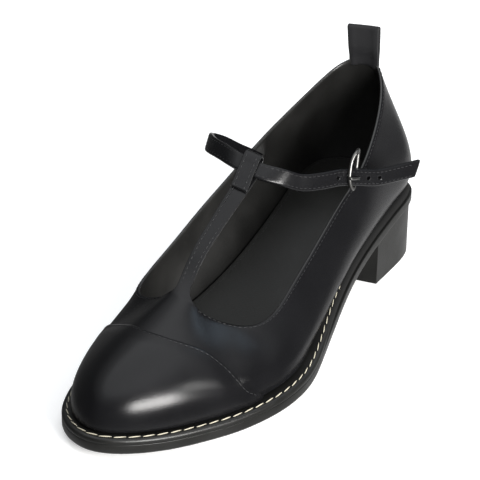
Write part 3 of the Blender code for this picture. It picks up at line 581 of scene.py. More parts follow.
# %% [markdown]
# Soft creases.
# Leather that has been tried on keeps low troughs and ridges where the foot bends. Each one here is a line
# seen from above with a width and a depth, and the leather sinks toward it smoothly, or rises where the depth
# is below zero. A bump in the material would give no shape in the outline or in the exported mesh, so the
# creases move the surface itself.

# %% Creases
Crease = namedtuple("Crease", "x1 y1 x2 y2 width depth")
CREASES = [
    Crease(178.0, 34.0, 190.0, 44.0, 5.0, 0.35),
    Crease(188.0, 26.0, 201.0, 40.0, 5.0, -0.25),
    Crease(197.0, 18.0, 210.0, 36.0, 6.0, 0.30),
    Crease(183.0, -33.0, 192.0, -40.0, 5.0, 0.30),
    Crease(194.0, -22.0, 206.0, -36.0, 6.0, 0.25),
    Crease(112.0, 34.0, 150.0, 43.0, 8.0, 0.25),
]


def relief(points):
    """How far the leather sinks (below zero) or rises at points of the last, in millimetres."""
    height = np.zeros(len(points))
    for row in CREASES:
        start = np.array([row.x1, row.y1])
        along = np.array([row.x2, row.y2]) - start
        share = np.clip((points[:, :2] - start) @ along / (along @ along), 0.0, 1.0)
        away = np.linalg.norm(points[:, :2] - start - share[:, None] * along, axis=1)
        height -= row.depth * np.exp(-(away / row.width) ** 2)
    return height


def leather_surface(round_key, share):
    """Outer face of the upper with its soft creases."""
    points = last_surface(round_key, share)
    return points + last_normal(round_key, share) * relief(points)[:, None]


print(len(CREASES), "creases")

# %% [markdown]
# T-bar.
# The bar rises from the middle of the throat, folds over the ankle strap and is sewn down below it. Its
# side view is one smooth path, and each row of points across that path has the bar's width there, with a
# fillet where it leaves the throat. A flat strip could be bent along a curve instead, but the fillet has to
# meet the throat's own points.

# %% T-bar
Ridge = namedtuple("Ridge", "x y z")
TBAR_RIDGE = [
    Ridge(193.0, -0.5, 47.6), Ridge(185.0, -2.2, 51.0), Ridge(172.0, -1.7, 61.8),
    Ridge(160.0, 0.1, 70.6), Ridge(149.0, 1.5, 77.6), Ridge(141.0, 2.0, 81.6),
]
TBAR_HALF_WIDTH_LOW = 3.4
TBAR_HALF_WIDTH_TOP = 4.2
TBAR_WIDEN_RUN = 60.0
TBAR_FILLET = 8.0
TBAR_CROWN_RUN = 30.0
STRAP_WIDTH = 8.0
STRAP_THICK = 2.0
LOOP_CENTRE = (132.5, 88.2)
LOOP_SIDE = 2.0
LOOP_TILT = 40.0
LOOP_BANK = -0.2
LOOP_EASE = 0.5
LOOP_END_RUN = 2.0
LOOP_END_LIFT = 0.25
TBAR_SHARES = np.concatenate([
    np.linspace(0.004, 0.05, 9), np.linspace(0.07, 0.60, 24), np.linspace(0.615, 1.0, 60),
])


def tbar_path():
    """Side view of the T-bar's outer face: up the ridge, under the strap, over it and down its front."""
    tilt = math.radians(LOOP_TILT)
    centre = np.array(LOOP_CENTRE)
    along = np.array([-math.cos(tilt), math.sin(tilt)])
    out = np.array([math.sin(tilt), math.cos(tilt)])
    half = STRAP_THICK / 2 + LOOP_EASE
    reach = STRAP_WIDTH / 2 + 2 * GAP
    ridge = [np.array([row.x, row.z]) for row in TBAR_RIDGE]
    back = [centre + along * at - out * half for at in (-reach, 0.0, reach)]
    turn = [centre + along * (reach + half * math.sin(angle)) - out * half * math.cos(angle)
            for angle in np.radians([45, 90, 135])]
    front = [centre + along * at + out * half for at in (reach, 0.0, -reach)]
    last_run = unit(ridge[-2] - ridge[-1])
    lifted = np.array([-last_run[1], last_run[0]])
    lifted = lifted if lifted[1] > 0 else -lifted
    end = [ridge[-1] + lifted * (LOOP_END_LIFT + LOOP_EASE),
           ridge[-1] + last_run * LOOP_END_RUN + lifted * LOOP_END_LIFT]
    path = np.array(ridge + back + turn + front + end)
    side = np.full(len(path), LOOP_SIDE)
    side[:len(ridge)] = [row.y for row in TBAR_RIDGE]
    return np.column_stack([path, side])


def tbar_strip(base):
    """Rows of points of the T-bar, from the throat's points at its base."""
    off_middle = base[:, 1] - TBAR_RIDGE[0].y
    reach_across = np.abs(off_middle[[0, -1]]).mean()
    order = np.argsort(off_middle)
    path = tbar_path()
    travelled = TBAR_SHARES * np.linalg.norm(np.diff(path, axis=0), axis=1).sum()
    rows = [base]
    for (x, z, side), distance in zip(open_curve(path, TBAR_SHARES), travelled):
        widened = min(1.0, distance / TBAR_WIDEN_RUN)
        half = TBAR_HALF_WIDTH_LOW + (TBAR_HALF_WIDTH_TOP - TBAR_HALF_WIDTH_LOW) * widened
        left = max(0.0, 1.0 - distance / TBAR_FILLET)
        half += (1.0 - math.sqrt(1.0 - left ** 2)) * (reach_across - half)
        crown = max(0.0, 1.0 - distance / TBAR_CROWN_RUN) ** 2
        across = off_middle * half / reach_across
        row = np.column_stack([np.full(len(across), x), side + across, np.full(len(across), z)])
        for axis in (0, 2):
            dropped = np.interp(across, off_middle[order], base[order, axis] - TBAR_RIDGE[0][axis])
            row[:, axis] += dropped * crown
        row[:, 2] += LOOP_BANK * widened ** 2 * across
        rows.append(row)
    return np.array(rows)


print("T-bar's path has", len(tbar_path()), "points")

# %% [markdown]
# Upper.
# Vamp, quarters and T-bar are one piece of leather. The wall is a ring of columns from the sole to the
# topline, and the columns at the middle of the throat grow on into the T-bar. Solidify gives the leather
# its thickness, which is less at the bar, and the inner face takes the lining's finish. Two shells, one for
# the leather and one for the lining, would need a third piece to close their edges.

# %% Upper
COLUMNS = 144
WALL_ROWS = 20
INSIDE_SHOE = (134.0, 0.0, 35.0)
UPPER_FINISHES = [leather, lining, leather, leather, cut_edge]
STRIP_FINISH = 2
TBAR_WALL = 1.1
TBAR_REGION = Ridge(120.0, 12.0, 50.0)

keys = np.arange(COLUMNS + 1) / COLUMNS + KEY_OF["toe tip"]
wall_points = np.array([leather_surface(keys, share) for share in np.linspace(0, 1, WALL_ROWS + 1)])
top_ring = wall_points[-1, :COLUMNS]
tbar_reach = max(i for i in range(COLUMNS // 4) if abs(top_ring[i, 1]) <= TBAR_HALF_WIDTH_LOW + TBAR_FILLET)
chosen = [i % COLUMNS for i in range(-tbar_reach, tbar_reach + 1)]
tbar_points = tbar_strip(top_ring[chosen])
strip = grid_sheet(tbar_points)
for face in strip.faces:
    face.material_index = STRIP_FINISH
shell = join_sheets(grid_sheet(wall_points, wrap=True), strip)
face_away(shell, INSIDE_SHOE)
upper = new_piece("upper_leather", shell, UPPER_FINISHES, "leather", "upper")
wall = add_wall(upper, WALL, inner_finish=1, rim_finish=4)
behind_x, _, above_z = place([TBAR_REGION.x, 0.0, TBAR_REGION.z])[0]
on_tbar = [vertex.co.x > behind_x and vertex.co.z > above_z and abs(vertex.co.y) < TBAR_REGION.y * MM
           for vertex in upper.data.vertices]
full_wall = upper.vertex_groups.new(name="full_wall")
full_wall.add([i for i, thin in enumerate(on_tbar) if not thin], 1.0, "ADD")
wall.vertex_group = full_wall.name
wall.thickness_vertex_group = TBAR_WALL / WALL
add_smoothing(upper)

# %% [markdown]
# Toe cap.
# The cap is a second layer of leather on the toe. Its seam sweeps back to each side, and its edge is pared
# thin, so it stands less proud at the seam than in front. It could be cut out of the upper, but the real
# one lies on top of it.

# %% Toe cap
Seam = namedtuple("Seam", "y x")
CAP_SEAM = [
    Seam(-50.0, 187.0), Seam(-36.0, 197.5), Seam(-26.5, 205.0), Seam(-15.0, 213.8), Seam(-4.0, 219.8),
    Seam(2.0, 220.8), Seam(8.0, 219.8), Seam(14.0, 217.0), Seam(24.5, 210.2), Seam(31.0, 208.0),
    Seam(36.0, 206.8), Seam(38.5, 205.8), Seam(41.0, 203.4), Seam(44.0, 201.5), Seam(50.0, 197.0),
]
SEAM_LEAN = 1.0
SEAM_LEANS_BELOW = 16.5
SEAM_CLEARANCE = 0.8
CAP_FOOT_SHARE = 0.012
LEAST_CAP_SHARE = 0.04
CAP_COLUMNS = 96
CAP_ROWS = 28
CAP_LEATHER = 0.9
CAP_PROUD_FRONT = 1.5
CAP_PROUD_SEAM = 0.85
CAP_PARED = 9.0
SEAM_HALVINGS = 40
SEAM_SEARCH_POINTS = 601


def beyond_seam(round_key, share):
    """How far a point of the last lies in front of the cap's seam, in millimetres."""
    points = last_surface(round_key, share)
    run_back = SEAM_LEAN * np.maximum(0.0, SEAM_LEANS_BELOW - points[:, 2])
    return points[:, 0] - steady_curve(CAP_SEAM, points[:, 1]) + run_back


def seam_shares(round_keys):
    """Share of each column at which it meets the cap's seam."""
    low, high = np.zeros(len(round_keys)), np.ones(len(round_keys))
    for _ in range(SEAM_HALVINGS):
        middle = (low + high) / 2
        ahead = beyond_seam(round_keys, middle) > 0
        low = np.where(ahead, middle, low)
        high = np.where(ahead, high, middle)
    return np.maximum(low, LEAST_CAP_SHARE)


def cap_surface(round_keys, share):
    """Outer face of the cap, pared thin toward its seam."""
    pared = np.clip(beyond_seam(round_keys, share) / CAP_PARED, 0.0, 1.0)
    proud = CAP_PROUD_SEAM + (CAP_PROUD_FRONT - CAP_PROUD_SEAM) * pared ** 2 * (3 - 2 * pared)
    return leather_surface(round_keys, share) + last_normal(round_keys, share) * proud[:, None]


search = np.linspace(KEY_OF["ball lateral"], KEY_OF["ball medial"], SEAM_SEARCH_POINTS)
in_front = search[beyond_seam(search, 0.0) > SEAM_CLEARANCE]
cap_keys = np.linspace(in_front[-1], in_front[0], CAP_COLUMNS + 1)
cap_top = seam_shares(cap_keys)
cap_points = np.array([cap_surface(cap_keys, CAP_FOOT_SHARE + (cap_top - CAP_FOOT_SHARE) * part_way)
                       for part_way in np.linspace(0, 1, CAP_ROWS + 1)])
cap = grid_sheet(cap_points)
face_away(cap, INSIDE_SHOE)
toe_cap = new_piece("toe_cap_leather", cap, [leather, pared_edge], "leather", "toe_cap")
add_wall(toe_cap, CAP_LEATHER, rim_finish=1)
add_smoothing(toe_cap)

# %% [markdown]
# Outline of the sole.
# Outsole, welt, sock and heel all follow the outline of the sole. Each is filled with an even grid between
# four sides that meet at their ends, and the grid is lifted to the sole's side profile. Filling the outline
# with one large face would be quicker, but such a face can't bend with the arch.

# %% Outline of the sole
PLATE_LENGTHWISE = 84
PLATE_ACROSS = 20


def patch(lateral, medial, heel, toe):
    """Grid of level points inside four sides that meet at their ends."""
    s = np.linspace(0, 1, len(lateral))[:, None, None]
    t = np.linspace(0, 1, len(heel))[None, :, None]
    lengthwise = (1 - t) * lateral[:, None] + t * medial[:, None]
    crosswise = (1 - s) * heel[None] + s * toe[None]
    corners = ((1 - s) * (1 - t) * lateral[0] + (1 - s) * t * medial[0]
               + s * (1 - t) * lateral[-1] + s * t * medial[-1])
    return lengthwise + crosswise - corners


def side_keys(start, end, count, through_zero=False):
    """Even keys round the shoe between two named sections."""
    return np.linspace(KEY_OF[start], KEY_OF[end] - (1.0 if through_zero else 0.0), count + 1)


def at_height(level_grid, base):
    """Lift a level grid to a height over the sole's underside."""
    return np.concatenate([level_grid, underside(level_grid[..., :1]) + base], axis=2)


print("a plate has", PLATE_LENGTHWISE * PLATE_ACROSS, "faces on each side")

# %% [markdown]
# Outsole, welt and sock.
# These are plates of leather that bend with the sole. Each has an underside, a rim that turns round two
# arcs, as an edge that is trimmed and rubbed does, and a top. The welt draws back under the waist, and is
# painted with shade there, darker and matte, where little light reaches it. Bevel could round the rims too,
# but it pinches where the sides of the grid meet.

# %% Outsole, welt and sock
RECESS_STARTS = 150.0
RECESS_RUN = 45.0


def behind_joint(x):
    """Eases from 0 under the joint of the foot to 1 at the waist and the heel."""
    share = np.clip((RECESS_STARTS - x) / RECESS_RUN, 0.0, 1.0)
    return share ** 2 * (3 - 2 * share)


def layer_inset(round_keys, row):
    """How far a layer's edge lies inside the sole's outline."""
    line = sections_at(round_keys)
    return line[:, 2] * row.margin_share + row.inset + row.recess * behind_joint(line[:, 0])


def sole_patch(row, further_in):
    """Grid that fills a layer's outline, moved further inward."""
    def line(keys):
        return sole_line(keys, layer_inset(keys, row) + further_in)

    lateral = line(side_keys("heel back lateral", "toe lateral", PLATE_LENGTHWISE))
    medial = line(side_keys("heel back medial", "toe medial", PLATE_LENGTHWISE))
    toe = line(side_keys("toe lateral", "toe medial", PLATE_ACROSS))
    heel = line(side_keys("heel back lateral", "heel back medial", PLATE_ACROSS, through_zero=True))
    return patch(lateral, medial, heel, toe)


Layer = namedtuple("Layer", "name node margin_share inset recess base thickness low_round high_round")
LAYERS = [
    Layer("outsole_leather", "outsole", 0.0, 0.0, 0.0, 0.0, OUTSOLE + GAP / 3, 1.3, 0.3),
    Layer("welt_leather", "welt", 0.0, 0.0, 1.2, OUTSOLE + 2 * GAP / 3, WELT + GAP / 3, 0.3, 1.8),
    Layer("sock_insole", "insole", 1.0, WALL + 2 * GAP, 0.0, SOLE_STACK + GAP, INSOLE, 0.3, 0.6),
]
RIM_STEPS = 8
RIM_FLAT = 0.5


def rim_keys():
    """Keys once round the sole, through the same points as the sides of its grid."""
    lateral = side_keys("heel back lateral", "toe lateral", PLATE_LENGTHWISE)
    toe = side_keys("toe lateral", "toe medial", PLATE_ACROSS)
    medial = side_keys("heel back medial", "toe medial", PLATE_LENGTHWISE)[::-1]
    heel = side_keys("heel back lateral", "heel back medial", PLATE_ACROSS, through_zero=True)[::-1]
    return np.concatenate([lateral, toe[1:], medial[1:], heel[1:]])


def plate_piece(row, finish, slot):
    """Layer of the sole: an underside, a rim that turns round two arcs, and a top."""
    arc = np.radians(np.linspace(0, 90, RIM_STEPS))
    insets = np.concatenate([row.low_round * (1 - np.sin(arc)), row.high_round * (1 - np.cos(arc))])
    heights = np.concatenate([row.low_round * (1 - np.cos(arc)),
                              row.thickness - row.high_round * (1 - np.sin(arc))])
    insets = np.concatenate([insets[:1] + RIM_FLAT, insets, insets[-1:] + RIM_FLAT])
    heights = np.concatenate([heights[:1], heights, heights[-1:]])
    keys_round = rim_keys()
    levels = np.array([sole_line(keys_round, layer_inset(keys_round, row) + inset) for inset in insets])
    rim = grid_sheet(at_height(levels, row.base + heights[:, None, None]), wrap=True)
    low = grid_sheet(at_height(sole_patch(row, insets[0]), row.base))
    high = grid_sheet(at_height(sole_patch(row, insets[-1]), row.base + row.thickness))
    plate = join_sheets(low, rim, high)
    bmesh.ops.recalc_face_normals(plate, faces=plate.faces)
    # Painted shade on the welt behind the joint, where the bulging quarter shades it: the layer darkens its
    # colour and dulls its gloss.
    if row.recess:
        painted_shade = plate.verts.layers.float.new(PAINTED_SHADE_LAYER)
        for vertex in plate.verts:
            vertex[painted_shade] = behind_joint(vertex.co.x / MM + MIDDLE[0])
    new_piece(row.name, plate, [finish], slot, row.node)


for layer, finish, slot in zip(LAYERS, (sole_edge, sole_edge, sock), ("sole_edge", "sole_edge", "sock")):
    plate_piece(layer, finish, slot)

# %% [markdown]
# Heel.
# The block heel is built up from layers of leather, then trimmed and inked as one. Its sides follow the
# sole and draw in toward the floor, and its breast is straight. It is a grid drawn out into a plate, whose
# two faces are moved to the floor and to the underside of the sole, and Bevel rounds its edges.

# %% Heel
HEEL_LENGTHWISE = 30
HEEL_TOP_INSET = 1.2
HEEL_FLOOR_INSET = 2.0
HEEL_EDGE_ROUND = 0.9
EDGE_SEGMENTS = 5
SHARP_ANGLE = 50.0


def slab(low, high):
    """Closed plate between two grids of points of the same shape."""
    plate = bmesh.new()
    bmesh.ops.create_grid(plate, x_segments=low.shape[1] - 1, y_segments=low.shape[0] - 1, size=1.0)
    order = plate.verts.layers.int.new("order")
    for i, vertex in enumerate(plate.verts):
        vertex[order] = i
    raised = bmesh.ops.extrude_face_region(plate, geom=plate.faces[:], use_keep_orig=True)["geom"]
    raised = {item for item in raised if isinstance(item, bmesh.types.BMVert)}
    low_points, high_points = place(low), place(high)
    for vertex in plate.verts:
        vertex.co = (high_points if vertex in raised else low_points)[vertex[order]]
    bmesh.ops.recalc_face_normals(plate, faces=plate.faces)
    return plate


def heel_level(inset):
    """Grid inside the heel's outline at one level."""
    lateral = sole_line(side_keys("heel back lateral", "seat lateral", HEEL_LENGTHWISE), inset)
    medial = sole_line(side_keys("heel back medial", "seat medial", HEEL_LENGTHWISE), inset)
    heel = sole_line(side_keys("heel back lateral", "heel back medial", PLATE_ACROSS, True), inset)
    return patch(lateral, medial, heel, np.linspace(lateral[-1], medial[-1], PLATE_ACROSS + 1))


def add_round_edges(piece, width):
    """Round the sharp edges by a width in millimetres."""
    bevel = piece.modifiers.new("edges", "BEVEL")
    bevel.width = width * MM
    bevel.segments = EDGE_SEGMENTS
    bevel.limit_method = "ANGLE"
    bevel.angle_limit = math.radians(SHARP_ANGLE)
    bevel.harden_normals = True


heel_floor = heel_level(HEEL_FLOOR_INSET)
heel_low = np.concatenate([heel_floor, np.zeros_like(heel_floor[..., :1])], axis=2)
heel = new_piece("heel_block_leather", slab(heel_low, at_height(heel_level(HEEL_TOP_INSET), -GAP)),
                 [sole_edge], "sole_edge", "heel_block")
add_round_edges(heel, HEEL_EDGE_ROUND)

# %% [markdown]
# Stitches.
# A stitch is a short length of thread that dips into the leather at both ends. Each one here is a small
# stretched ball with few faces, set along a line on the leather, and a whole row is one object. Curves with
# a dash pattern would need a far finer mesh for the same look.

# %% Stitches
Thread = namedtuple("Thread", "length pitch width height")
FINE = Thread(2.0, 2.6, 0.44, 0.34)
WELTED = Thread(6.1, 6.5, 0.58, 0.52)
STITCH_SIDES = 6
STITCH_RINGS = 5


def add_stitches(row, path, normals, thread, slant=0.0):
    """Add one line of stitches to a bmesh along points, each lying on the surface with the normal given."""
    path = np.asarray(path, float)
    gone = np.concatenate([[0.0], np.cumsum(np.linalg.norm(np.diff(path, axis=0), axis=1))])
    count = int(gone[-1] // thread.pitch)
    for number in range(count):
        at = (number + 0.5) * gone[-1] / count
        ends = [np.array([np.interp(at + shift, gone, path[:, k]) for k in range(3)])
                for shift in (-thread.length / 2, thread.length / 2)]
        up = unit(np.array([np.interp(at, gone, normals[:, k]) for k in range(3)]))
        along = unit(ends[1] - ends[0])
        side = unit(np.cross(up, along))
        along = unit(along + side * slant)
        up = np.cross(along, np.cross(up, along))
        side = np.cross(up, along)
        axes = (side * thread.width / 2, up * thread.height / 2, along * thread.length / 2)
        turn = Matrix(axes).transposed()
        middle = Vector(place((ends[0] + ends[1]) / 2)[0])
        bmesh.ops.create_uvsphere(row, u_segments=STITCH_SIDES, v_segments=STITCH_RINGS, radius=1.0,
                                  matrix=Matrix.Translation(middle) @ (turn * MM).to_4x4())


def stitch_piece(name, lines, thread, finish, slot, slant=0.0):
    """One object with all the stitches along several lines."""
    row = bmesh.new()
    for path, normals in lines:
        add_stitches(row, path, normals, thread, slant)
    return new_piece(name, row, [finish], slot)


print("stitches lie", FINE.pitch, "mm apart on the leather and", WELTED.pitch, "mm on the welt")

# %% [markdown]
# Stitches of the topline.
# One line of thread holds leather and lining together. It runs down one edge of the T-bar, round the whole
# topline and up the bar's other edge, between the places where the bar's fold covers it. The edge is read in
# even steps and smoothed a little, so that the stitches turn the corners of the throat without a kink.

# %% Stitches of the topline
EDGE_STITCH_IN = 1.6
FOLD_COVERS_X = 142.0
TOPLINE_POINTS = 600
EVEN_STEP = 0.5
SMOOTHED_OVER = 9

bar_middle = tbar_points[:, tbar_reach]
bar_run = unit(np.gradient(bar_middle, axis=0))
bar_out = unit(np.cross(np.broadcast_to([0.0, 1.0, 0.0], bar_run.shape), bar_run))
open_rows = slice(1, np.argmax(bar_middle[:, 0] < FOLD_COVERS_X))
top_keys = np.linspace(keys[tbar_reach], keys[COLUMNS - tbar_reach], TOPLINE_POINTS)
edge_line = np.vstack([
    tbar_points[open_rows, -1][::-1], last_surface(top_keys, 1.0), tbar_points[open_rows, 0],
])
edge_out = np.vstack([bar_out[open_rows][::-1], last_normal(top_keys, 1.0), bar_out[open_rows]])
edge_gone = np.concatenate([[0.0], np.cumsum(np.linalg.norm(np.diff(edge_line, axis=0), axis=1))])
even = np.arange(0.0, edge_gone[-1], EVEN_STEP)


def evened(values):
    """Rows of values at even steps along the edge, smoothed over a few steps."""
    rows = np.array([np.interp(even, edge_gone, column) for column in values.T]).T
    padded = np.pad(rows, ((SMOOTHED_OVER // 2,) * 2, (0, 0)), mode="edge")
    window = np.ones(SMOOTHED_OVER) / SMOOTHED_OVER
    return np.array([np.convolve(column, window, mode="valid") for column in padded.T]).T


edge_even, edge_up = evened(edge_line), unit(evened(edge_out))
edge_in = unit(np.cross(unit(np.gradient(edge_even, axis=0)), edge_up))
middle_row = len(even) // 2
if edge_in[middle_row, 2] > 0:
    edge_in = -edge_in
stitched_edge = edge_even + edge_in * EDGE_STITCH_IN
stitch_piece("topline_stitches", [(stitched_edge, edge_up)], FINE, black_thread, "leather")

# %% [markdown]
# Stitches of the T-bar's fold and of the cap.
# The fold is sewn down along both edges and across its end. The cap is sewn on by a line beside its seam.
# Both are measured from edges of pieces made above, so they follow those wherever they are moved.

# %% Stitches of the fold and the cap
FOLD_FALLS = -0.3
CAP_STITCH_IN = 1.6
CAP_STITCH_ENDS = 3
SHARE_STEP = 0.05

fold_lines = []
fold_rows = np.flatnonzero(bar_run[:, 2] < FOLD_FALLS)
fold_out = -bar_out[fold_rows]
for edge in (0, -1):
    fold_edge = tbar_points[fold_rows, edge]
    toward_middle = unit(bar_middle[fold_rows] - fold_edge)
    fold_lines.append((fold_edge + fold_out * TBAR_WALL + toward_middle * EDGE_STITCH_IN, fold_out))
end_row = tbar_points[-1] - bar_run[-1] * EDGE_STITCH_IN + fold_out[-1] * TBAR_WALL
fold_lines.append((end_row[1:-1], np.broadcast_to(fold_out[-1], end_row[1:-1].shape)))
stitch_piece("tbar_stitches", fold_lines, FINE, black_thread, "leather")

seam_keys = cap_keys[CAP_STITCH_ENDS:-CAP_STITCH_ENDS]
seam_at = seam_shares(seam_keys)
beside_seam = last_surface(seam_keys, seam_at) - last_surface(seam_keys, seam_at - SHARE_STEP)
cap_length = np.linalg.norm(beside_seam, axis=1) / SHARE_STEP
seam_line = seam_at - CAP_STITCH_IN / cap_length
stitch_piece("cap_stitches", [(cap_surface(seam_keys, seam_line), last_normal(seam_keys, seam_line))], FINE,
             black_thread, "leather")

# %% [markdown]
# Stitches of the welt and the sock.
# A thick pale thread joins the welt to the outsole, from waist to waist round the toe, each stitch a little
# aslant. A fine black one edges the sock. Both lie level at a steady distance inside the edge of their
# layer.

# %% Stitches of the welt and the sock
WELT_STITCH_IN = 2.4
WELT_STITCH_RISE = 0.15
WELT_STITCH_SLANT = 0.12
WELT_ENDS_IN = 0.01
SOCK_STITCH_IN = 2.6
LEVEL_POINTS = 700


def level_line(keys_round, row, inset, height):
    """Points over a layer of the sole, inside its edge, with the upward direction at each."""
    flat = sole_line(keys_round, layer_inset(keys_round, row) + inset)
    line = np.column_stack([flat, underside(flat[:, 0]) + height])
    return line, np.broadcast_to([0.0, 0.0, 1.0], line.shape)


_, welt_layer, sock_layer = LAYERS
welt_keys = np.linspace(KEY_OF["waist lateral"] + WELT_ENDS_IN,
                        KEY_OF["waist medial"] - WELT_ENDS_IN, LEVEL_POINTS)
welt_line = level_line(welt_keys, welt_layer, WELT_STITCH_IN, SOLE_STACK + WELT_STITCH_RISE)
stitch_piece("welt_stitches", [welt_line], WELTED, cream_thread, "ribbon", WELT_STITCH_SLANT)
sock_keys = np.linspace(0, 1, LEVEL_POINTS)
sock_line = level_line(sock_keys, sock_layer, SOCK_STITCH_IN, SOLE_STACK + GAP + INSOLE)
stitch_piece("sock_stitches", [sock_line], FINE, black_thread, "sock")

# %% [markdown]
# Ankle strap.
# The strap starts between the leather and the lining of the inner quarter, passes through the loop of the
# T-bar and the buckle, and ends in a slanted tip. It is a strip with rounded edges along a route, a row of
# holes is cut through it with a Boolean, and a line of stitches follows each edge.

# %% Route of the strap
Strap = namedtuple("Strap", "x y z lean_x lean_y")
LOOP_LEAN = -1.0 / math.tan(math.radians(LOOP_TILT))
STRAP_ROUTE = [
    Strap(69.5, -28.2, 58.6, -0.45, 0.1), Strap(77.8, -28.8, 64.3, -0.5, 0.05),
    Strap(86.0, -31.4, 70.0, -0.55, 0.0), Strap(96.0, -33.8, 77.2, -0.6, -0.05),
    Strap(107.5, -33.6, 83.4, -0.8, -0.1), Strap(118.5, -26.8, 87.4, -1.0, 0.0),
    Strap(127.0, -15.5, 89.6, -1.0, 0.0), Strap(132.3, -4.0, 89.4, LOOP_LEAN, 0.0),
    Strap(132.5, 2.0, 88.2, LOOP_LEAN, 0.0), Strap(132.5, 7.5, 87.1, LOOP_LEAN, 0.0),
    Strap(128.5, 15.0, 84.6, -1.0, 0.0), Strap(119.0, 21.5, 79.1, -0.5, -0.1),
    Strap(108.0, 26.5, 76.6, -0.25, -0.15), Strap(97.0, 30.0, 74.6, -0.05, -0.15),
    Strap(87.0, 33.0, 71.4, 0.0, -0.15), Strap(75.0, 38.0, 67.5, 0.05, -0.15),
    Strap(62.0, 43.0, 65.8, 0.1, -0.15), Strap(51.0, 47.0, 64.6, 0.1, -0.15),
]


def strap_frames(shares):
    """Middle, direction, upper edge and outer face of the ankle strap at shares of its length."""
    shares = np.atleast_1d(shares)
    values = open_curve(STRAP_ROUTE, shares)
    ahead, behind = (open_curve(STRAP_ROUTE, shares + step)[:, :3] for step in (SMALL, -SMALL))
    along = unit(ahead - behind)
    upward = np.column_stack([values[:, 3], values[:, 4], np.ones(len(values))])
    upward = unit(upward - along * np.sum(upward * along, axis=1, keepdims=True))
    return values[:, :3], along, upward, np.cross(along, upward)


def strap_section(width, thickness, corner, crown):
    """Half-round edges and a slightly crowned face, as points across and out of a strap."""
    half, deep = width / 2, thickness / 2
    quarter = [(half - corner + corner * math.sin(a), deep - corner + corner * math.cos(a))
               for a in np.radians([0, 30, 60, 90])]
    face = [(half * share, deep + crown * (1 - share ** 2)) for share in (0.0, 0.35, 0.7)]
    right = face + quarter
    left = [(-a, b) for a, b in right[:0:-1]]
    top = left + right
    bottom = [(a, -deep if abs(b - deep) < corner / 2 or b > deep else -b) for a, b in top[::-1]]
    return np.array(top + bottom)


def swept(middle, upward, out, section):
    """Closed strip through a section carried along a route."""
    rings = middle[:, None] + section[None, :, :1] * upward[:, None] + section[None, :, 1:] * out[:, None]
    strip = grid_sheet(np.concatenate([rings, rings[:, :1]], axis=1), wrap=True)
    bmesh.ops.holes_fill(strip, edges=strip.edges)
    bmesh.ops.recalc_face_normals(strip, faces=strip.faces)
    return strip


def cut_through(piece, cutter):
    """Cut the shapes in a bmesh out of a piece, and keep the result as its mesh."""
    tool_mesh = bpy.data.meshes.new("punch")
    cutter.to_mesh(tool_mesh)
    cutter.free()
    tool = bpy.data.objects.new("punch", tool_mesh)
    bpy.context.scene.collection.objects.link(tool)
    cut = piece.modifiers.new("holes", "BOOLEAN")
    cut.operation = "DIFFERENCE"
    cut.solver = "EXACT"
    cut.object = tool
    whole = piece.data
    piece.data = bpy.data.meshes.new_from_object(piece.evaluated_get(bpy.context.evaluated_depsgraph_get()))
    piece.data.name = piece.name
    piece.modifiers.remove(cut)
    bpy.data.objects.remove(tool)
    for spare in (tool_mesh, whole):
        bpy.data.meshes.remove(spare)


print("strap's route has", len(STRAP_ROUTE), "points")

# %% [markdown]
# Strap and its holes.
# The strip is swept along the route, and its tip slants over the last few millimetres. The holes are punched
# with one Boolean, and the cut strip is kept as a plain mesh, so nothing is left to work out later.

# %% Strap
STRAP_STEPS = 220
STRAP_CORNER = 0.7
STRAP_CROWN = 0.15
TIP_SLANT = 0.45
TIP_RUN = 8.0
BUCKLE_STRETCH = 0.79
HOLE_RADIUS = 1.1
HOLE_PITCH = 7.0
HOLE_SHIFT = 2.0
HOLES_EACH_WAY = 2
HOLE_SIDES = 20
STRAP_STITCH_IN = 1.35
STRAP_STITCHED = slice(2, -4)

strap_shares = np.linspace(0, 1, STRAP_STEPS + 1)
middle, along, upward, out = strap_frames(strap_shares)
strap_length = np.linalg.norm(np.diff(middle, axis=0), axis=1).sum()
section = strap_section(STRAP_WIDTH, STRAP_THICK, STRAP_CORNER, STRAP_CROWN)
from_tip = (1.0 - strap_shares) * strap_length
strap_slant = TIP_SLANT * np.clip(1.0 - from_tip / TIP_RUN, 0.0, 1.0)
strap = swept(middle, upward + along * strap_slant[:, None], out, section)
strap_piece = new_piece("ankle_strap_leather", strap, [leather], "leather", "ankle_strap")
print("strap is", round(strap_length, 1), "mm long")

cutter = bmesh.new()
for number in range(-HOLES_EACH_WAY, HOLES_EACH_WAY + 1):
    share = BUCKLE_STRETCH + (number * HOLE_PITCH + HOLE_SHIFT) / strap_length
    spot, run, rise, face = (values[0] for values in strap_frames(share))
    turn = Matrix((run, rise, face)).transposed().to_4x4()
    bmesh.ops.create_cone(cutter, cap_ends=True, segments=HOLE_SIDES, radius1=HOLE_RADIUS * MM,
                          radius2=HOLE_RADIUS * MM, depth=3 * STRAP_THICK * MM,
                          matrix=Matrix.Translation(place(spot)[0]) @ turn)
cut_through(strap_piece, cutter)

stitch_lines = []
for side in (-1, 1):
    line = middle + upward * side * (STRAP_WIDTH / 2 - STRAP_STITCH_IN) + out * STRAP_THICK / 2
    stitch_lines.append((line[STRAP_STITCHED], out[STRAP_STITCHED]))
stitch_piece("strap_stitches", stitch_lines, FINE, black_thread, "leather")

# %% [markdown]
# Buckle.
# The frame is a wire bent to a ring with a straight rear bar and a bowed front, and the prong is a thinner
# wire that lies in a hole of the strap and rests on the front. A curve with a round bevel makes such wire
# at once, and it is made a mesh, because the finished shoe is kept as meshes.

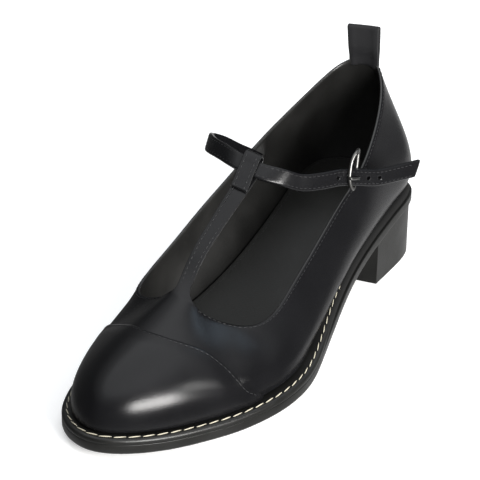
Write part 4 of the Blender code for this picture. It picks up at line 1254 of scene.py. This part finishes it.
# %% Buckle
FRAME_WIRE = 0.85
FRAME_HALF_LENGTH = 5.5
FRAME_HALF_WIDTH = 9.2
FRAME_CORNER = 2.6
FRAME_RAISED = 3.6
FRONT_BOW = 5.0
FRONT_ROUND = 7.6
FRAME_BEND = -2.5
FRONT_BAR_OUT = 2.6
REAR_BAR_OUT = -3.7
PRONG_WIRE = 0.7
PRONG_TIP_PAST = 1.2
PRONG_POINTS = 30
WIRE_ROUNDNESS = 5
CORNER_POINTS = 10


def at_buckle(points):
    """Points given along, across and out of the strap at the buckle, in the shoe's frame."""
    centre, forward, rise, face = (values[0] for values in strap_frames(BUCKLE_STRETCH))
    points = np.asarray(points, float)
    return centre + points[:, :1] * forward + points[:, 1:2] * rise + points[:, 2:] * face


def wire_piece(name, points, radius, cyclic, finish, slot, node):
    """Round wire along points, as a mesh."""
    data = bpy.data.curves.new(name + "_line", "CURVE")
    data.dimensions = "3D"
    data.bevel_depth = radius * MM
    data.bevel_resolution = WIRE_ROUNDNESS
    data.use_fill_caps = True
    spline = data.splines.new("POLY")
    spline.points.add(len(points) - 1)
    for target, point in zip(spline.points, place(points)):
        target.co = (*point, 1.0)
    spline.use_cyclic_u = cyclic
    line = bpy.data.objects.new(name + "_line", data)
    bent = bmesh.new()
    made = bpy.data.meshes.new_from_object(line)
    bent.from_mesh(made)
    bpy.data.meshes.remove(made)
    bpy.data.objects.remove(line)
    bmesh.ops.remove_doubles(bent, verts=bent.verts, dist=WELD)
    bmesh.ops.recalc_face_normals(bent, faces=bent.faces)
    return new_piece(name, bent, [finish], slot, node)


frame_outline = []
for quarter, (a, b) in enumerate([(1, 1), (-1, 1), (-1, -1), (1, -1)]):
    long, wide = (FRAME_CORNER, FRAME_CORNER) if a > 0 else (FRONT_BOW, FRONT_ROUND)
    for turn in np.radians(np.linspace(0, 90, CORNER_POINTS) + 90 * quarter):
        frame_outline.append((a * (FRAME_HALF_LENGTH - long) + long * math.cos(turn),
                              b * (FRAME_HALF_WIDTH - wide) + wide * math.sin(turn)))
frame_rise = (FRONT_BAR_OUT - REAR_BAR_OUT) / (FRAME_HALF_LENGTH - FRAME_BEND)
frame_wire = [(t, w + FRAME_RAISED, min(FRONT_BAR_OUT, REAR_BAR_OUT + frame_rise * (FRAME_HALF_LENGTH - t)))
              for t, w in frame_outline]
wire_piece("buckle_frame_wire", at_buckle(frame_wire), FRAME_WIRE, True, metal, "metal", "buckle_frame")

Waypoint = namedtuple("Waypoint", "along across out")
prong_tip = FRONT_BAR_OUT + FRAME_WIRE + PRONG_WIRE + GAP
PRONG_ROUTE = [
    Waypoint(2.0, 0.0, -0.8), Waypoint(1.9, 0.0, 0.8), Waypoint(1.2, 0.0, 2.0), Waypoint(-0.5, 0.0, 3.0),
    Waypoint(-3.0, 0.0, 4.0), Waypoint(-FRAME_HALF_LENGTH - PRONG_TIP_PAST, 0.0, prong_tip),
]
prong_line = open_curve(at_buckle(PRONG_ROUTE), np.linspace(0, 1, PRONG_POINTS))
wire_piece("buckle_prong_wire", prong_line, PRONG_WIRE, False, metal, "metal", "buckle_prong")

# %% [markdown]
# Buckle tab.
# A short strap holds the buckle: it folds round the frame's rear bar and runs down inside the quarter,
# under the lining. It is swept along its own route as the ankle strap is, so both have the same rounded
# edges.

# %% Buckle tab
TAB_WIDTH = 8.0
TAB_THICK = 1.0
TAB_CORNER = 0.35
TAB_CROWN = 0.05
TAB_STEPS = 90
TAB_FOLD_POINTS = 9
Inside = namedtuple("Inside", "x y z")
TAB_SHORT_END = [Waypoint(5.0, 0.0, -0.4), Waypoint(2.5, 0.0, 0.0)]
TAB_LONG_END = [
    Inside(77.0, 25.2, 69.8), Inside(73.0, 22.6, 66.4), Inside(69.4, 21.8, 62.2), Inside(67.2, 22.9, 58.4),
]
tab_radius = FRAME_WIRE + GAP + TAB_THICK / 2
tab_fold = [(FRAME_HALF_LENGTH + row.along, row.across, REAR_BAR_OUT + tab_radius + row.out)
            for row in TAB_SHORT_END]
for angle in np.radians(np.linspace(90, 270, TAB_FOLD_POINTS)):
    tab_fold.append((FRAME_HALF_LENGTH + tab_radius * math.cos(angle), 0.0,
                     REAR_BAR_OUT + tab_radius * math.sin(angle)))
tab_middle = open_curve(np.vstack([at_buckle(tab_fold), TAB_LONG_END]), np.linspace(0, 1, TAB_STEPS + 1))
tab_along = unit(np.gradient(tab_middle, axis=0))
tab_up = strap_frames(BUCKLE_STRETCH)[2]
tab_up = unit(tab_up - tab_along * np.sum(tab_up * tab_along, axis=1, keepdims=True))
tab_section = strap_section(TAB_WIDTH, TAB_THICK, TAB_CORNER, TAB_CROWN)
tab = swept(tab_middle, tab_up, np.cross(tab_along, tab_up), tab_section)
new_piece("buckle_tab_leather", tab, [leather], "leather", "buckle_tab")

# %% [markdown]
# Pull loop.
# A ribbon folded over at its top is sewn into the back of the collar, to pull the shoe on by. Its foot
# follows the curve of the collar and its top is nearly straight, so each row of the grid keeps a smaller
# share of that curve as it rises. Cloth would fall limp here, while the real ribbon is stiff and stands up.

# %% Pull loop
PULL_WIDTH = 15.6
PULL_HEIGHT = 16.0
PULL_THICK = 1.0
PULL_FOLD_RADIUS = 1.0
PULL_TWIST = -0.2
PULL_SIDE = -0.8
PULL_LEAN = 0.08
PULL_BEND_KEPT = 0.4
PULL_REACH = 0.023
PULL_SEWN_IN = 5.0
PULL_PINCH = 0.35
PULL_OPENS = 5.0
PULL_COLUMNS = 24
PULL_ROWS = 16
PULL_FOLD_POINTS = 10
pull_keys = np.linspace(-PULL_REACH, PULL_REACH, PULL_COLUMNS + 1)
pull_top = last_surface(pull_keys, 1.0) - last_normal(pull_keys, 1.0) * WALL / 2
pull_centre = pull_top[PULL_COLUMNS // 2] + np.array([0.0, PULL_SIDE, 0.0])
pull_across = np.linspace(-0.5, 0.5, PULL_COLUMNS + 1) * PULL_WIDTH
pull_order = np.argsort(pull_top[:, 1])
pull_side, collar_y = pull_centre[1] + pull_across, pull_top[pull_order, 1]
pull_bend = np.interp(pull_side, collar_y, pull_top[pull_order, 0]) - pull_centre[0]
pull_drop = np.interp(pull_side, collar_y, pull_top[pull_order, 2]) - pull_centre[2]
leg = np.linspace(0, 1, PULL_ROWS + 1) * (PULL_HEIGHT - PULL_FOLD_RADIUS)
leg = np.concatenate([[-PULL_SEWN_IN, -PULL_SEWN_IN / 2], leg])
pull_path = [(-PULL_FOLD_RADIUS, lift) for lift in leg]
pull_path += [(-PULL_FOLD_RADIUS * math.cos(a), leg[-1] + PULL_FOLD_RADIUS * math.sin(a))
              for a in np.radians(np.linspace(0, 180, PULL_FOLD_POINTS)[1:-1])]
pull_path += [(PULL_FOLD_RADIUS, lift) for lift in leg[::-1]]
pull_rows = []
for step, lift in pull_path:
    left = min(1.0, 1.0 - lift / PULL_HEIGHT)
    step *= PULL_PINCH + (1.0 - PULL_PINCH) * min(1.0, max(0.0, lift / PULL_OPENS))
    ahead = (PULL_TWIST * pull_across + PULL_LEAN * PULL_HEIGHT) * (1.0 - left)
    curve = pull_bend * (PULL_BEND_KEPT + (1.0 - PULL_BEND_KEPT) * left)
    pull_rows.append(np.column_stack([pull_centre[0] + step + curve + ahead, pull_side,
                                      pull_centre[2] + 2 * GAP + lift + pull_drop * left]))
pull = grid_sheet(np.array(pull_rows))
bmesh.ops.recalc_face_normals(pull, faces=pull.faces)
pull_piece = new_piece("pull_loop_ribbon", pull, [ribbon], "ribbon", "pull_loop")
add_wall(pull_piece, PULL_THICK, offset=0.0)
add_smoothing(pull_piece)

# %% [markdown]
# Lining over the hidden ends.
# The strap and the tab end inside the shoe, where a maker slips them under the lining, which rises over
# them a little. Each rise here is a patch of the wall's inner face that swells in its middle and sinks back
# at its edges. The wall itself could be pushed in, but its outer face would follow.

# %% Lining over the ends
Cover = namedtuple("Cover", "name first_key last_key low_share high_share height")
COVERS = [
    Cover("strap_end_lining", 0.846, 0.880, 0.66, 0.985, 3.5),
    Cover("tab_end_lining", 0.126, 0.150, 0.66, 0.985, 3.6),
]
COVER_STEPS = 28
COVER_SLOPE = 0.32
COVER_SUNK = 0.15
COVER_WALL = 0.5


def swelling():
    """Eases from 0 at both ends of a row to 1 over its middle."""
    share = np.linspace(0, 1, COVER_STEPS + 1)
    rise = np.clip(np.minimum(share, 1 - share) / COVER_SLOPE, 0.0, 1.0)
    return rise ** 2 * (3 - 2 * rise)


for row in COVERS:
    cover_keys = np.linspace(row.first_key, row.last_key, COVER_STEPS + 1)
    cover_rows = []
    for share, swell in zip(np.linspace(row.low_share, row.high_share, COVER_STEPS + 1), swelling()):
        depth = WALL - COVER_SUNK + row.height * swell * swelling()
        cover_rows.append(last_surface(cover_keys, share) - last_normal(cover_keys, share) * depth[:, None])
    cover = grid_sheet(np.array(cover_rows))
    face_away(cover, INSIDE_SHOE)
    bmesh.ops.reverse_faces(cover, faces=cover.faces)
    cover_piece = new_piece(row.name, cover, [lining], "leather")
    add_wall(cover_piece, COVER_WALL)
